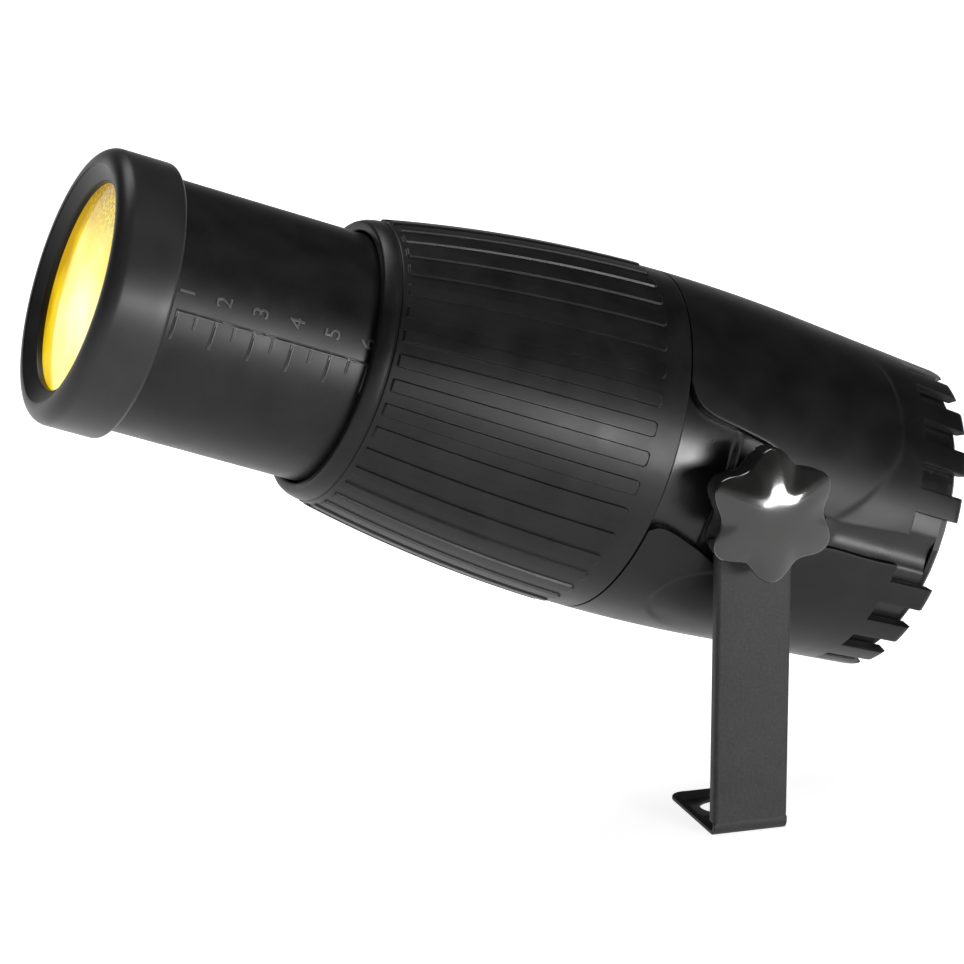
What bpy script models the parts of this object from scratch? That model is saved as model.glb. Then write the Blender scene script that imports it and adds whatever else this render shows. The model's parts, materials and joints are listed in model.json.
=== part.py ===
"""Compact pattern spotlight on a bent sheet bracket, with every piece inside it.

Run with: blender --background --python part.py

The origin is on the underside of the foot. The lens looks along -Y at rest, tilted up, the bracket arm
and its clamp knob are on the +X side. Everything in the barrel is modelled in the barrel's own frame:
+Z runs along the optical axis towards the lens, +Y is up across the barrel, +X points at the arm, and
zero is where the tilt axis crosses the optical axis. Named sizes are in millimetres.
"""

import math

import bmesh
import bpy
import numpy as np
from mathutils import Matrix, Vector

MM = 0.001
GAP = 0.3  # between pieces that touch
RUN = 0.4  # between pieces that move past each other
FINE = 48  # facets round the large turned pieces
COARSE = 28  # facets round the small ones
SCREW_FACETS = 10

# Placement
PIVOT_HEIGHT = 86.4
REST_TILT = 19.6
MOUNT_INSET = 8.0  # foot reference point, in from the arm's outer face

# Barrel outline: two arcs that meet at the widest station, then a straight taper to the rear
BARREL_SWELL = 12.8  # how far the widest place stands round the focus tube
WIDEST_STATION = 18.0
NOSE_WALL = 3.32  # how far the sleeve's front end stands round the focus tube
REAR_ARC = 444.0
TAPER_START = -15.0
REAR_END = -59.4
RIM_ROUND = 1.6
SKIN = 2.2

# Grip sleeve
SLEEVE_REAR = 23.9
SLEEVE_FRONT = 104.0
SLEEVE_WALL = 2.5
SLEEVE_LIP = 4.0  # depth of the front ring that closes round the tube
BAR_COUNT = 37
BAR_REAR = 31.0
BAR_STOP = 6.0  # plain band between the bars and the sleeve's front end
BAR_HEIGHT = 0.5
BAR_PHASE = 1.7  # degrees
LUG_SPACE = 2.75  # between the head's spigot and the sleeve's bore
LUG_WIDTH = 20.0
LUG_LENGTH = 2.5
LUG_REAR = 27.0

# Focus tube
TUBE_RADIUS = 32.0
TUBE_WALL = 2.5
TUBE_REAR = 66.0
TUBE_FRONT = 163.0
TRAVEL_STOP = 5.6  # left between the bezel and the sleeve when the tube is in
GUIDE_WALL = 2.0
GUIDE_SPACE = 0.5  # between the guide's front end and the sleeve's bore
GUIDE_FLANGE = 2.4
PIN_RADIUS = 2.0
PIN_INSET = 12.0  # from the tube's rear end
BEZEL_WALL = 3.0
BEZEL_OVERLAP = 7.4  # how far the bezel reaches back over the tube
BEZEL_NOSE = 9.6  # how far it reaches in front of the tube
BEZEL_ROUND = 3.0
GLASS_INSET = 5.6
LENS_EDGE = 2.6
GASKET = 1.0
REAR_LENS_INSET = 18.0  # from the tube's rear end
REAR_LENS_EDGE = 2.4

# Head
SPIGOT_FRONT = 34.0
CORE_WALL = 2.4
REAR_INSET = 4.0  # how far the core's rear end sits inside the shells' rear edge
COVER_THICKNESS = 2.2
NOTCH_COUNT = 20
NOTCH_FRONT = -46.0
NOTCH_PHASE = 7.8  # degrees
RECESS_DEPTH = 4.2  # below the arm's folded edges
RECESS_FRONT = 7.0
RECESS_REAR = -22.0
RECESS_TOP = 16.0
RECESS_BOTTOM = -19.0
GLAND_THREAD = 5.6
GLAND_WALL = 1.6
GLAND_FLAT = 2.4  # how far the hexagon stands past the thread
GLAND_DROP = 12.0
COVER_SCREW = 1.4

# Free edges of the two shells across the side of the barrel, as (station, height) points that a smooth
# curve runs through, from the sleeve to the rear
UPPER_EDGE = [(SLEEVE_REAR - 0.2, 24.5), (21.0, 20.2), (16.0, 17.9), (6.5, 16.4), (-3.0, 14.2), (-11.0, 8.6),
              (-17.0, 3.2), (-24.0, 1.1), (-40.0, 1.9), (REAR_END - 2, 3.0)]
LOWER_EDGE = [(SLEEVE_REAR - 0.2, -14.2), (21.0, -12.7), (16.5, -13.2), (8.5, -15.8), (1.0, -18.6), (-6.0, -18.0),
              (-13.0, -12.2), (-19.0, -7.6), (-26.0, -6.1), (-40.0, -6.2), (REAR_END - 2, -5.0)]

# Light engine
PATTERN_RADIUS = 13.4
PATTERN_SEAT = 2.4
PATTERN_STATION = 14.0
CONDENSER_RADIUS = 18.0
BOARD_STATION = -13.0
BOARD_THICKNESS = 1.6
SINK_RADIUS = 26.0
SINK_LENGTH = 24.0
SINK_SLOTS = 7
FAN_SIZE = 40.0
FAN_DEPTH = 8.0
FAN_RIM = 1.4
FAN_SCREW_INSET = 4.0
FAN_HUB = 8.0
FAN_BLADES = 7

# Bracket and clamp
ARM_TUCK = 2.0  # how far the arm's folded edges reach inside the widest radius
SHEET = 1.2
ARM_WIDTH = 20.0
FLANGE_DEPTH = 3.8
FLANGE_TOP = -12.0
FOOT_LENGTH = 32.3
FOOT_HOLE_RADIUS = 6.2
FOOT_HOLE_INSET = 19.1
FOOT_CORNER = 3.0
BEND_RADIUS = 2.4
STUD_RADIUS = 3.0
INSERT_WALL = 1.6
WASHER_RADIUS = 9.0
WASHER_THICKNESS = 1.4
KNOB_RADIUS = 17.2
KNOB_LOBE = 3.6  # how far a lobe stands past the valleys
KNOB_LOBES = 6
KNOB_DEPTH = 12.5

# Sizes that follow from the ones above
widest_radius = TUBE_RADIUS + BARREL_SWELL
nose_radius = TUBE_RADIUS + NOSE_WALL
front_arc = (SLEEVE_FRONT - WIDEST_STATION) ** 2 / (2 * (widest_radius - nose_radius))
bar_front = SLEEVE_FRONT - BAR_STOP
tube_inner = TUBE_RADIUS - TUBE_WALL
pin_station = TUBE_REAR + PIN_INSET
rear_lens_station = TUBE_REAR + REAR_LENS_INSET
bezel_radius = TUBE_RADIUS + BEZEL_WALL
bezel_rear = TUBE_FRONT - BEZEL_OVERLAP
bezel_front = TUBE_FRONT + BEZEL_NOSE
focus_travel = bezel_rear - SLEEVE_FRONT - TRAVEL_STOP
glass_radius = TUBE_RADIUS - GLASS_INSET
core_rear = REAR_END + REAR_INSET
fan_bore = FAN_SIZE / 2 - FAN_RIM
flange_inner = widest_radius - ARM_TUCK
arm_outer = flange_inner + FLANGE_DEPTH
arm_inner = arm_outer - SHEET
recess_floor = flange_inner - RECESS_DEPTH
insert_shank = STUD_RADIUS + RUN + INSERT_WALL
insert_flange = RECESS_FRONT - 2 * GAP
outside_all = widest_radius + 15.0  # past every surface of the barrel, for cutters


# ---------------------------------------------------------------- scene and materials

def clear_scene():
    for obj in list(bpy.data.objects):
        bpy.data.objects.remove(obj, do_unlink=True)


def new_collection(name, hidden=False):
    collection = bpy.data.collections.new(name)
    bpy.context.scene.collection.children.link(collection)
    collection.hide_render = hidden
    return collection


def new_material(name, colour, roughness, metallic=0.0):
    material = bpy.data.materials.new(name)
    material.use_nodes = True
    shader = material.node_tree.nodes["Principled BSDF"]
    shader.inputs["Base Color"].default_value = (*colour, 1.0)
    shader.inputs["Roughness"].default_value = roughness
    shader.inputs["Metallic"].default_value = metallic
    material.diffuse_color = (*colour, 1.0)
    return material


clear_scene()
parts = new_collection("pattern_spotlight")
cutters = new_collection("cutters", hidden=True)

black_plastic = new_material("black_plastic", (0.022, 0.022, 0.024), 0.5)
gloss_black = new_material("gloss_black", (0.016, 0.016, 0.017), 0.16)
black_paint = new_material("black_paint", (0.045, 0.045, 0.048), 0.5, 0.3)
steel = new_material("steel", (0.62, 0.62, 0.63), 0.3, 1.0)
brass = new_material("brass", (0.78, 0.62, 0.32), 0.3, 1.0)
aluminium = new_material("aluminium", (0.75, 0.76, 0.78), 0.35, 1.0)
glass = new_material("glass", (0.9, 0.92, 0.9), 0.03)
rubber = new_material("rubber", (0.03, 0.03, 0.03), 0.8)
circuit = new_material("circuit", (0.05, 0.16, 0.08), 0.5)
emitter = new_material("emitter", (0.95, 0.85, 0.35), 0.3)


# ---------------------------------------------------------------- frames

def new_frame(name, location=(0, 0, 0), rotation=(0, 0, 0), parent=None):
    """An empty that carries the pieces of one moving body; its origin is on that body's joint axis."""
    frame = bpy.data.objects.new(name, None)
    frame.location = Vector(location) * MM
    frame.rotation_euler = rotation
    frame.parent = parent
    parts.objects.link(frame)
    return frame


pivot = (MOUNT_INSET - arm_outer, 0.0, PIVOT_HEIGHT)
head_frame = new_frame("head_frame", pivot, (math.radians(90 - REST_TILT), 0, 0))
sleeve_frame = new_frame("sleeve_frame", parent=head_frame)
tube_frame = new_frame("tube_frame", parent=sleeve_frame)
rotor_frame = new_frame("rotor_frame", parent=head_frame)
clamp_frame = new_frame("clamp_frame", pivot)
bracket_frame = new_frame("bracket_frame", pivot)


# ---------------------------------------------------------------- shape helpers

def add_object(name, data, material, frame, collection=parts):
    obj = bpy.data.objects.new(name, data)
    obj.parent = frame
    collection.objects.link(obj)
    if collection is cutters:
        obj.hide_render = True
        obj.display_type = "WIRE"
    else:
        data.materials.append(material)
    return obj


def mesh_from_bmesh(name, bm, angle=35):
    bmesh.ops.recalc_face_normals(bm, faces=bm.faces)
    if bm.calc_volume(signed=True) < 0:
        bmesh.ops.reverse_faces(bm, faces=bm.faces)
    mesh = bpy.data.meshes.new(name)
    bm.to_mesh(mesh)
    bm.free()
    mesh.shade_smooth()
    mesh.set_sharp_from_angle(angle=math.radians(angle))
    return mesh


def turned(name, profile, material, frame, facets=COARSE, collection=parts, closed=True):
    """A Screw of a profile of (radius, station) points, listed down the outer side first."""
    mesh = bpy.data.meshes.new(name)
    points = [(radius * MM, 0.0, station * MM) for radius, station in profile]
    count = len(points)
    edges = [(i, i + 1) for i in range(count - 1)]
    if closed:
        edges.append((count - 1, 0))
    mesh.from_pydata(points, edges, [])
    obj = add_object(name, mesh, material, frame, collection)
    screw = obj.modifiers.new("turn", "SCREW")
    screw.axis = "Z"
    screw.steps = facets
    screw.render_steps = facets
    screw.use_merge_vertices = True
    screw.merge_threshold = 0.00001
    return obj


def solid(name, profile, material, frame, facets=COARSE, collection=parts):
    """A turned piece whose profile starts and ends on the axis."""
    return turned(name, profile, material, frame, facets, collection, closed=False)


def box_mesh(name, low, high):
    low, high = Vector(low) * MM, Vector(high) * MM
    bm = bmesh.new()
    size = high - low
    place = Matrix.Translation((low + high) / 2) @ Matrix.Diagonal((*size, 1.0))
    bmesh.ops.create_cube(bm, size=1.0, matrix=place)
    return mesh_from_bmesh(name, bm)


def box(name, low, high, material, frame, collection=parts):
    return add_object(name, box_mesh(name, low, high), material, frame, collection)


def cylinder(name, start, end, radius, material, frame, collection=parts, facets=COARSE):
    """A capped cylinder between two points."""
    start, end = Vector(start) * MM, Vector(end) * MM
    run = end - start
    turn = run.to_track_quat("Z", "Y").to_matrix().to_4x4()
    bm = bmesh.new()
    bmesh.ops.create_cone(
        bm, cap_ends=True, segments=facets, radius1=radius * MM, radius2=radius * MM, depth=run.length,
        matrix=Matrix.Translation((start + end) / 2) @ turn)
    return add_object(name, mesh_from_bmesh(name, bm), material, frame, collection)


def plate(name, edge, low, high, material, frame, collection=parts, axis="Z"):
    """A flat outline of (a, b) points extruded from low to high along an axis of the frame."""
    bm = bmesh.new()
    place = {"X": lambda a, b, c: (c, a, b), "Y": lambda a, b, c: (a, c, b), "Z": lambda a, b, c: (a, b, c)}
    corners = [bm.verts.new(Vector(place[axis](a, b, low)) * MM) for a, b in edge]
    face = bm.faces.new(corners)
    rise = Vector(place[axis](0, 0, high - low)) * MM
    grown = bmesh.ops.extrude_face_region(bm, geom=[face])
    moved = [v for v in grown["geom"] if isinstance(v, bmesh.types.BMVert)]
    bmesh.ops.translate(bm, vec=rise, verts=moved)
    return add_object(name, mesh_from_bmesh(name, bm), material, frame, collection)


def boolean(obj, cutter, operation="DIFFERENCE"):
    modifier = obj.modifiers.new(operation.lower(), "BOOLEAN")
    modifier.operation = operation
    modifier.solver = "EXACT"
    modifier.object = cutter


def joined(name, pieces, frame):
    """One cutter made of separate closed pieces that don't meet."""
    bm = bmesh.new()
    for piece in pieces:
        bm.from_mesh(piece.data)
        bpy.data.objects.remove(piece, do_unlink=True)
    return add_object(name, mesh_from_bmesh(name, bm), None, frame, cutters)


def arc(centre, radius, start, end, steps):
    """Points on a circle from one angle to another, in degrees, both ends included."""
    angles = np.radians(np.linspace(start, end, steps + 1))
    return [(centre[0] + radius * math.cos(t), centre[1] + radius * math.sin(t)) for t in angles]


def smooth_path(points, steps):
    """A Catmull-Rom curve through the points: each span is a cubic whose end slopes follow its neighbours."""
    known = [np.array(p, float) for p in points]
    known = [2 * known[0] - known[1], *known, 2 * known[-1] - known[-2]]
    path = []
    for before, start, end, after in zip(known, known[1:], known[2:], known[3:]):
        for t in np.arange(steps) / steps:
            path.append(tuple(0.5 * (2 * start + (end - before) * t
                                     + (2 * before - 5 * start + 4 * end - after) * t ** 2
                                     + (3 * start - before - 3 * end + after) * t ** 3)))
    path.append(tuple(known[-2]))
    return path


def polar(radius, degrees):
    return radius * math.cos(math.radians(degrees)), radius * math.sin(math.radians(degrees))


def screw(name, centre, axis, head_radius, head_height, shank_radius, shank_length, frame):
    """A slotted pan-head screw: centre is under the head, and axis points out of the head."""
    centre, axis = Vector(centre), Vector(axis).normalized()
    profile = [(0, head_height), (head_radius * 0.7, head_height), (head_radius, head_height * 0.4),
               (head_radius, 0), (shank_radius, 0), (shank_radius, -shank_length), (0, -shank_length)]
    bm = bmesh.new()
    verts = [bm.verts.new((radius * MM, 0, height * MM)) for radius, height in profile]
    for first, second in zip(verts, verts[1:]):
        bm.edges.new((first, second))
    bmesh.ops.spin(bm, geom=bm.verts[:] + bm.edges[:], axis=(0, 0, 1), cent=(0, 0, 0),
                   angle=math.tau, steps=SCREW_FACETS, use_merge=True)
    bmesh.ops.remove_doubles(bm, verts=bm.verts, dist=1e-6)
    bm.transform(Matrix.Translation(centre * MM) @ axis.to_track_quat("Z", "Y").to_matrix().to_4x4())
    return add_object(name, mesh_from_bmesh(name, bm), steel, frame)


# ---------------------------------------------------------------- barrel outline

def barrel_radius(station):
    """The outer radius: an arc in front of the widest station, another behind it, then its tangent."""
    if station >= WIDEST_STATION:
        return widest_radius - (station - WIDEST_STATION) ** 2 / (2 * front_arc)
    bend = max(station, TAPER_START)
    drop = (WIDEST_STATION - bend) ** 2 / (2 * REAR_ARC)
    slope = (WIDEST_STATION - TAPER_START) / REAR_ARC
    return widest_radius - drop - slope * max(TAPER_START - station, 0.0)


spigot_radius = barrel_radius(SLEEVE_REAR) - SLEEVE_WALL - LUG_SPACE


def outline(front, rear, inset, count):
    """Points on the barrel's outer side from front to rear, moved in by inset."""
    return [(barrel_radius(s) - inset, s) for s in np.linspace(front, rear, count)]


# ---------------------------------------------------------------- focus tube and its lenses

def focus_tube_body():
    seat_radius = TUBE_RADIUS - 1.8
    glass_rear = TUBE_FRONT + GAP + GASKET + GAP
    glass_front = glass_rear + LENS_EDGE
    lip = glass_front + GAP
    corner = (bezel_radius - BEZEL_ROUND, bezel_front - BEZEL_ROUND)
    front_round = arc(corner, BEZEL_ROUND, 90, 0, 4)
    rear_round = arc((bezel_radius - 1.2, bezel_rear + 1.2), 1.2, 0, -90, 1)
    bezel = front_round + rear_round + [
        (TUBE_RADIUS + GAP, bezel_rear),
        (TUBE_RADIUS + GAP, TUBE_FRONT + GAP),
        (seat_radius, TUBE_FRONT + GAP),
        (seat_radius, lip),
        (glass_radius, lip),
        (glass_radius, lip + 1.0),
        (glass_radius + 1.4, bezel_front)]
    turned("lens_bezel", bezel, black_plastic, tube_frame, FINE)

    gasket_outer = seat_radius - GAP
    gasket_inner = glass_radius + 2 * GAP
    gasket_rear = TUBE_FRONT + GAP
    turned("lens_gasket", [(gasket_outer, gasket_rear + GASKET), (gasket_outer, gasket_rear),
                           (gasket_inner, gasket_rear), (gasket_inner, gasket_rear + GASKET)], rubber, tube_frame)
    bulge_front, bulge_rear = 1.0, 4.0
    solid("front_lens", lens_profile(gasket_outer, glass_radius - 0.4, glass_rear, glass_front,
                                     bulge_rear, bulge_front), glass, tube_frame, 32)

    step = rear_lens_station - GAP
    ledge = tube_inner - 1.5
    tube = turned("focus_tube", [(TUBE_RADIUS, TUBE_FRONT), (TUBE_RADIUS, TUBE_REAR), (tube_inner, TUBE_REAR),
                                 (tube_inner, step - 2.0), (ledge, step - 2.0), (ledge, step), (tube_inner, step),
                                 (tube_inner, TUBE_FRONT)], black_plastic, tube_frame, FINE)
    pin_hole = cylinder("pin_hole", (0, -TUBE_RADIUS - 3, pin_station), (0, -tube_inner + 2, pin_station),
                        PIN_RADIUS - 0.5 + GAP, None, tube_frame, cutters, 16)
    boolean(tube, pin_hole)
    pin_top = TUBE_RADIUS + RUN + GUIDE_WALL - 0.4
    pin = cylinder("guide_pin", (0, -pin_top, pin_station), (0, -TUBE_RADIUS - GAP, pin_station),
                   PIN_RADIUS, steel, tube_frame, facets=16)
    pin_shank = cylinder("pin_shank", (0, -TUBE_RADIUS - 1, pin_station), (0, -tube_inner - 0.4, pin_station),
                         PIN_RADIUS - 0.5, None, tube_frame, cutters, 16)
    boolean(pin, pin_shank, "UNION")

    lens_outer = tube_inner - GAP
    solid("rear_lens", lens_profile(lens_outer, lens_outer - 1.5, rear_lens_station,
                                    rear_lens_station + REAR_LENS_EDGE, 1.2, 3.0), glass, tube_frame, 32)
    ring_rear = rear_lens_station + REAR_LENS_EDGE + GAP
    ring_inner = lens_outer - 1.4
    turned("rear_lens_retainer", [(lens_outer, ring_rear + 3), (lens_outer, ring_rear), (ring_inner, ring_rear),
                                  (ring_inner, ring_rear + 3)], black_plastic, tube_frame)


def lens_profile(edge, clear, rear, front, rear_bulge, front_bulge):
    """Half a lens section: a spherical cap on each side of a plain edge band."""
    def cap(bulge, steps):
        radius = (clear ** 2 + bulge ** 2) / (2 * bulge)
        reach = np.linspace(0, clear, steps + 1)
        return [(r, math.sqrt(radius ** 2 - r ** 2) - (radius - bulge)) for r in reach]

    front_side = [(r, front + h) for r, h in cap(front_bulge, 3)]
    rear_side = [(r, rear - h) for r, h in reversed(cap(rear_bulge, 3))]
    return front_side + [(edge, front), (edge, rear)] + rear_side


# ---------------------------------------------------------------- grip sleeve

def three_blocks(name, inner, outer, low, high, width, phase):
    """Three radial blocks, a third of a turn apart."""
    blocks = []
    for index in range(3):
        mesh = box_mesh("block", (inner, -width / 2, low), (outer, width / 2, high))
        mesh.transform(Matrix.Rotation(math.radians(phase + 120 * index), 4, "Z"))
        blocks.append(add_object(f"{name}_{index}", mesh, None, sleeve_frame, cutters))
    return joined(name, blocks, sleeve_frame)


def ring_lugs(name, inner, outer, rear, front, width, phase):
    """Three curved lugs: a ring kept only inside three radial blocks."""
    ring = turned(name, [(outer, front), (outer, rear), (inner, rear), (inner, front)], None, sleeve_frame,
                  FINE, cutters)
    boolean(ring, three_blocks(name + "_blocks", inner - 5, outer + 5, rear - 1, front + 1, width, phase),
            "INTERSECT")
    return ring


def grip_sleeve_mesh():
    """The sleeve spun with two facets to a bar, then every second strip of facets raised into a bar."""
    segments = 2 * BAR_COUNT
    bars = np.linspace(bar_front, BAR_REAR, 4)
    stations = [SLEEVE_FRONT, SLEEVE_FRONT - 2.0, *bars, SLEEVE_REAR]
    outside = [(barrel_radius(s), s) for s in stations]
    lip_radius = TUBE_RADIUS + RUN
    lip_rear = SLEEVE_FRONT - SLEEVE_LIP
    bore = [(barrel_radius(s) - SLEEVE_WALL, s) for s in np.linspace(SLEEVE_REAR, lip_rear, 4)]
    bore[-1] = (max(bore[-1][0], lip_radius + 0.1), lip_rear)
    profile = outside + bore + [(lip_radius, lip_rear), (lip_radius, SLEEVE_FRONT)]
    bm = bmesh.new()
    verts = [bm.verts.new((radius * MM, 0, station * MM)) for radius, station in profile]
    edges = [bm.edges.new((verts[i], verts[(i + 1) % len(verts)])) for i in range(len(verts))]
    bmesh.ops.spin(bm, geom=verts + edges, axis=(0, 0, 1), cent=(0, 0, 0), angle=math.tau,
                   steps=segments, use_merge=True)
    bmesh.ops.remove_doubles(bm, verts=bm.verts, dist=1e-6)
    bmesh.ops.recalc_face_normals(bm, faces=bm.faces)
    strip = math.tau / segments
    raised = []
    for face in bm.faces:
        centre = face.calc_center_median()
        station = centre.z / MM
        outward = face.normal.x * centre.x + face.normal.y * centre.y > 0
        far_out = math.hypot(centre.x, centre.y) / MM > barrel_radius(station) - SLEEVE_WALL / 2
        index = int((math.atan2(centre.y, centre.x) % math.tau) / strip)
        if outward and far_out and BAR_REAR < station < bar_front and index % 2 == 0:
            raised.append(face)
    grown = bmesh.ops.extrude_face_region(bm, geom=raised)
    bmesh.ops.delete(bm, geom=raised, context="FACES_ONLY")
    for vert in [v for v in grown["geom"] if isinstance(v, bmesh.types.BMVert)]:
        reach = 1 + BAR_HEIGHT * MM / math.hypot(vert.co.x, vert.co.y)
        vert.co.x *= reach
        vert.co.y *= reach
    bm.transform(Matrix.Rotation(math.radians(BAR_PHASE), 4, "Z"))
    return mesh_from_bmesh("grip_sleeve", bm)


def sleeve_body():
    sleeve = add_object("grip_sleeve", grip_sleeve_mesh(), black_plastic, sleeve_frame)
    bore = barrel_radius(LUG_REAR) - SLEEVE_WALL
    lugs = ring_lugs("sleeve_lugs", spigot_radius + RUN, bore + SLEEVE_WALL / 2, LUG_REAR, LUG_REAR + LUG_LENGTH,
                     LUG_WIDTH, 90)
    boolean(sleeve, lugs, "UNION")

    guide_inner = TUBE_RADIUS + RUN
    guide_outer = guide_inner + GUIDE_WALL
    flange_rear = SPIGOT_FRONT + 2.0
    flange_front = flange_rear + GUIDE_FLANGE
    room = widest_radius - SLEEVE_WALL - GUIDE_SPACE - guide_outer
    guide_front = WIDEST_STATION + math.sqrt(2 * front_arc * room)
    flange_radius = barrel_radius(flange_front) - SLEEVE_WALL - GAP
    slot_half = PIN_RADIUS + RUN
    slot_rear = pin_station - focus_travel - slot_half
    guide_rear = slot_rear - GUIDE_FLANGE
    guide = turned("guide_tube", [(guide_outer, guide_front), (guide_outer, flange_front),
                                  (flange_radius, flange_front), (flange_radius, flange_rear),
                                  (guide_outer, flange_rear), (guide_outer, guide_rear),
                                  (guide_inner, guide_rear), (guide_inner, guide_front)],
                   black_plastic, sleeve_frame, FINE)
    slot = box("guide_slot", (-slot_half, -guide_outer - 1, slot_rear),
               (slot_half, -guide_inner + 2, pin_station + slot_half), None, sleeve_frame, cutters)
    boolean(guide, slot)
    for index in range(3):
        x, y = polar((guide_outer + flange_radius) / 2, 30 + 120 * index)
        hole = cylinder(f"guide_screw_hole_{index}", (x, y, flange_rear - 2), (x, y, flange_front + 2), 1.2 + GAP,
                        None, sleeve_frame, cutters, 12)
        boolean(guide, hole)
        screw(f"guide_screw_{index + 1}", (x, y, flange_front + GAP), (0, 0, 1), 2.2, 1.4, 1.2,
              GUIDE_FLANGE + GAP, sleeve_frame)


# ---------------------------------------------------------------- head: core and shells

def window_outline(level_points, top):
    """The region above (top True) or below a path across the side of the barrel, as (height, station)."""
    far = outside_all if top else -outside_all
    path = smooth_path(level_points, 4)
    ends = [(far, path[-1][0]), (far, path[0][0])]
    return [(height, station) for station, height in path] + ends


def shell(name, edge_points, top):
    """One half of the outer housing: a thin turned skin kept on one side of its edge line."""
    front = SLEEVE_REAR - GAP
    rim = RIM_ROUND
    straight = REAR_END + rim
    outside = outline(front, straight, 0, 6)
    edge_radius = outside[-1][0]
    rounded = arc((edge_radius - rim, straight), rim, 0, -70, 2)[1:]
    inside = [(radius - SKIN, station) for radius, station in reversed(outside)]
    inside[0] = (inside[0][0], rounded[-1][1])
    skin = turned(name, outside + rounded + inside, black_plastic, head_frame, FINE)
    keep = plate(name + "_side", window_outline(edge_points, top), -outside_all, outside_all, None, head_frame,
                 cutters, axis="X")
    boolean(skin, keep, "INTERSECT")
    boolean(skin, notch_blocks(name + "_notches"))
    return skin


def notch_blocks(name):
    """Radial blocks that cut the rear edge into teeth, half a pitch wide."""
    pitch = 360 / NOTCH_COUNT
    width = 2 * barrel_radius(NOTCH_FRONT) * math.sin(math.radians(pitch / 4))
    inner = barrel_radius(REAR_END) - 4 * SKIN
    blocks = []
    for index in range(NOTCH_COUNT):
        mesh = box_mesh("notch", (inner, -width / 2, REAR_END - 2), (outside_all, width / 2, NOTCH_FRONT))
        mesh.transform(Matrix.Rotation(math.radians(NOTCH_PHASE + pitch * index), 4, "Z"))
        blocks.append(add_object(f"{name}_{index}", mesh, None, head_frame, cutters))
    return joined(name, blocks, head_frame)


def core_housing():
    inset = SKIN + GAP
    shoulder = SLEEVE_REAR - GAP
    wall = CORE_WALL
    outside = outline(shoulder, core_rear, inset, 6)
    bore_front = spigot_radius - wall
    inside = [(radius - wall, station) for radius, station in outline(core_rear, shoulder - wall, inset, 4)]
    profile = ([(spigot_radius, SPIGOT_FRONT), (spigot_radius, shoulder)] + outside + inside
               + [(bore_front, shoulder - wall), (bore_front, SPIGOT_FRONT)])
    core = turned("core_housing", profile, gloss_black, head_frame, FINE)
    for side in (1, -1):
        inner = recess_floor - wall - 0.4
        outer = recess_floor + 1.6
        low = (min(side * inner, side * outer), RECESS_BOTTOM - 2, RECESS_REAR - 2)
        high = (max(side * inner, side * outer), RECESS_TOP + 2, RECESS_FRONT + 2)
        backing = box(f"recess_backing_{side}", low, high, None, head_frame, cutters)
        within = outline(shoulder, core_rear, inset + 0.2, 6)
        boolean(backing, solid(f"backing_limit_{side}", [(0, shoulder)] + within + [(0, core_rear)], None,
                               head_frame, FINE, cutters), "INTERSECT")
        boolean(core, backing, "UNION")
        low = (min(side * recess_floor, side * outside_all), RECESS_BOTTOM, RECESS_REAR)
        high = (max(side * recess_floor, side * outside_all), RECESS_TOP, RECESS_FRONT)
        boolean(core, box(f"recess_{side}", low, high, None, head_frame, cutters))
        hole = cylinder(f"pivot_hole_{side}", (side * (inner - 6), 0, 0), (side * outside_all, 0, 0),
                        insert_shank + GAP, None, head_frame, cutters, 24)
        boolean(core, hole)
    lug_rear = LUG_REAR + LUG_LENGTH + 0.6
    lug_outer = barrel_radius(lug_rear) - SLEEVE_WALL - RUN
    lugs = ring_lugs("spigot_lugs", spigot_radius - 1, lug_outer, lug_rear, lug_rear + LUG_LENGTH, LUG_WIDTH, 90)
    boolean(core, lugs, "UNION")

    ring_centre = spigot_radius + LUG_SPACE / 2
    ring_thick = LUG_SPACE / 2 - GAP
    turned("friction_ring", arc((ring_centre, SLEEVE_REAR + ring_thick + 0.2), ring_thick, 90, -180, 3), rubber,
           head_frame, FINE)


def pivot_fittings():
    """Brass insert behind the arm with a bore for the stud, and a blank of the same shape on the far side."""
    flange_face = arm_inner - GAP
    boss = recess_floor + GAP
    tip = recess_floor - CORE_WALL - 3.5  # reaches a few millimetres inside the wall
    bore = STUD_RADIUS + RUN
    for name, side, radius in (("pivot_insert", 1, bore), ("pivot_blank", -1, 0.0)):
        height = flange_face if side == 1 else recess_floor + 1.6
        profile = [(insert_flange, height), (insert_flange, boss), (insert_shank, boss), (insert_shank, tip)]
        if radius:
            piece = turned(name, profile + [(radius, tip), (radius, height)], brass, head_frame, 28)
        else:
            piece = solid(name, [(0, height)] + profile + [(0, tip)], black_plastic, head_frame, 28)
        piece.rotation_euler = (0, side * math.pi / 2, 0)


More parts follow.
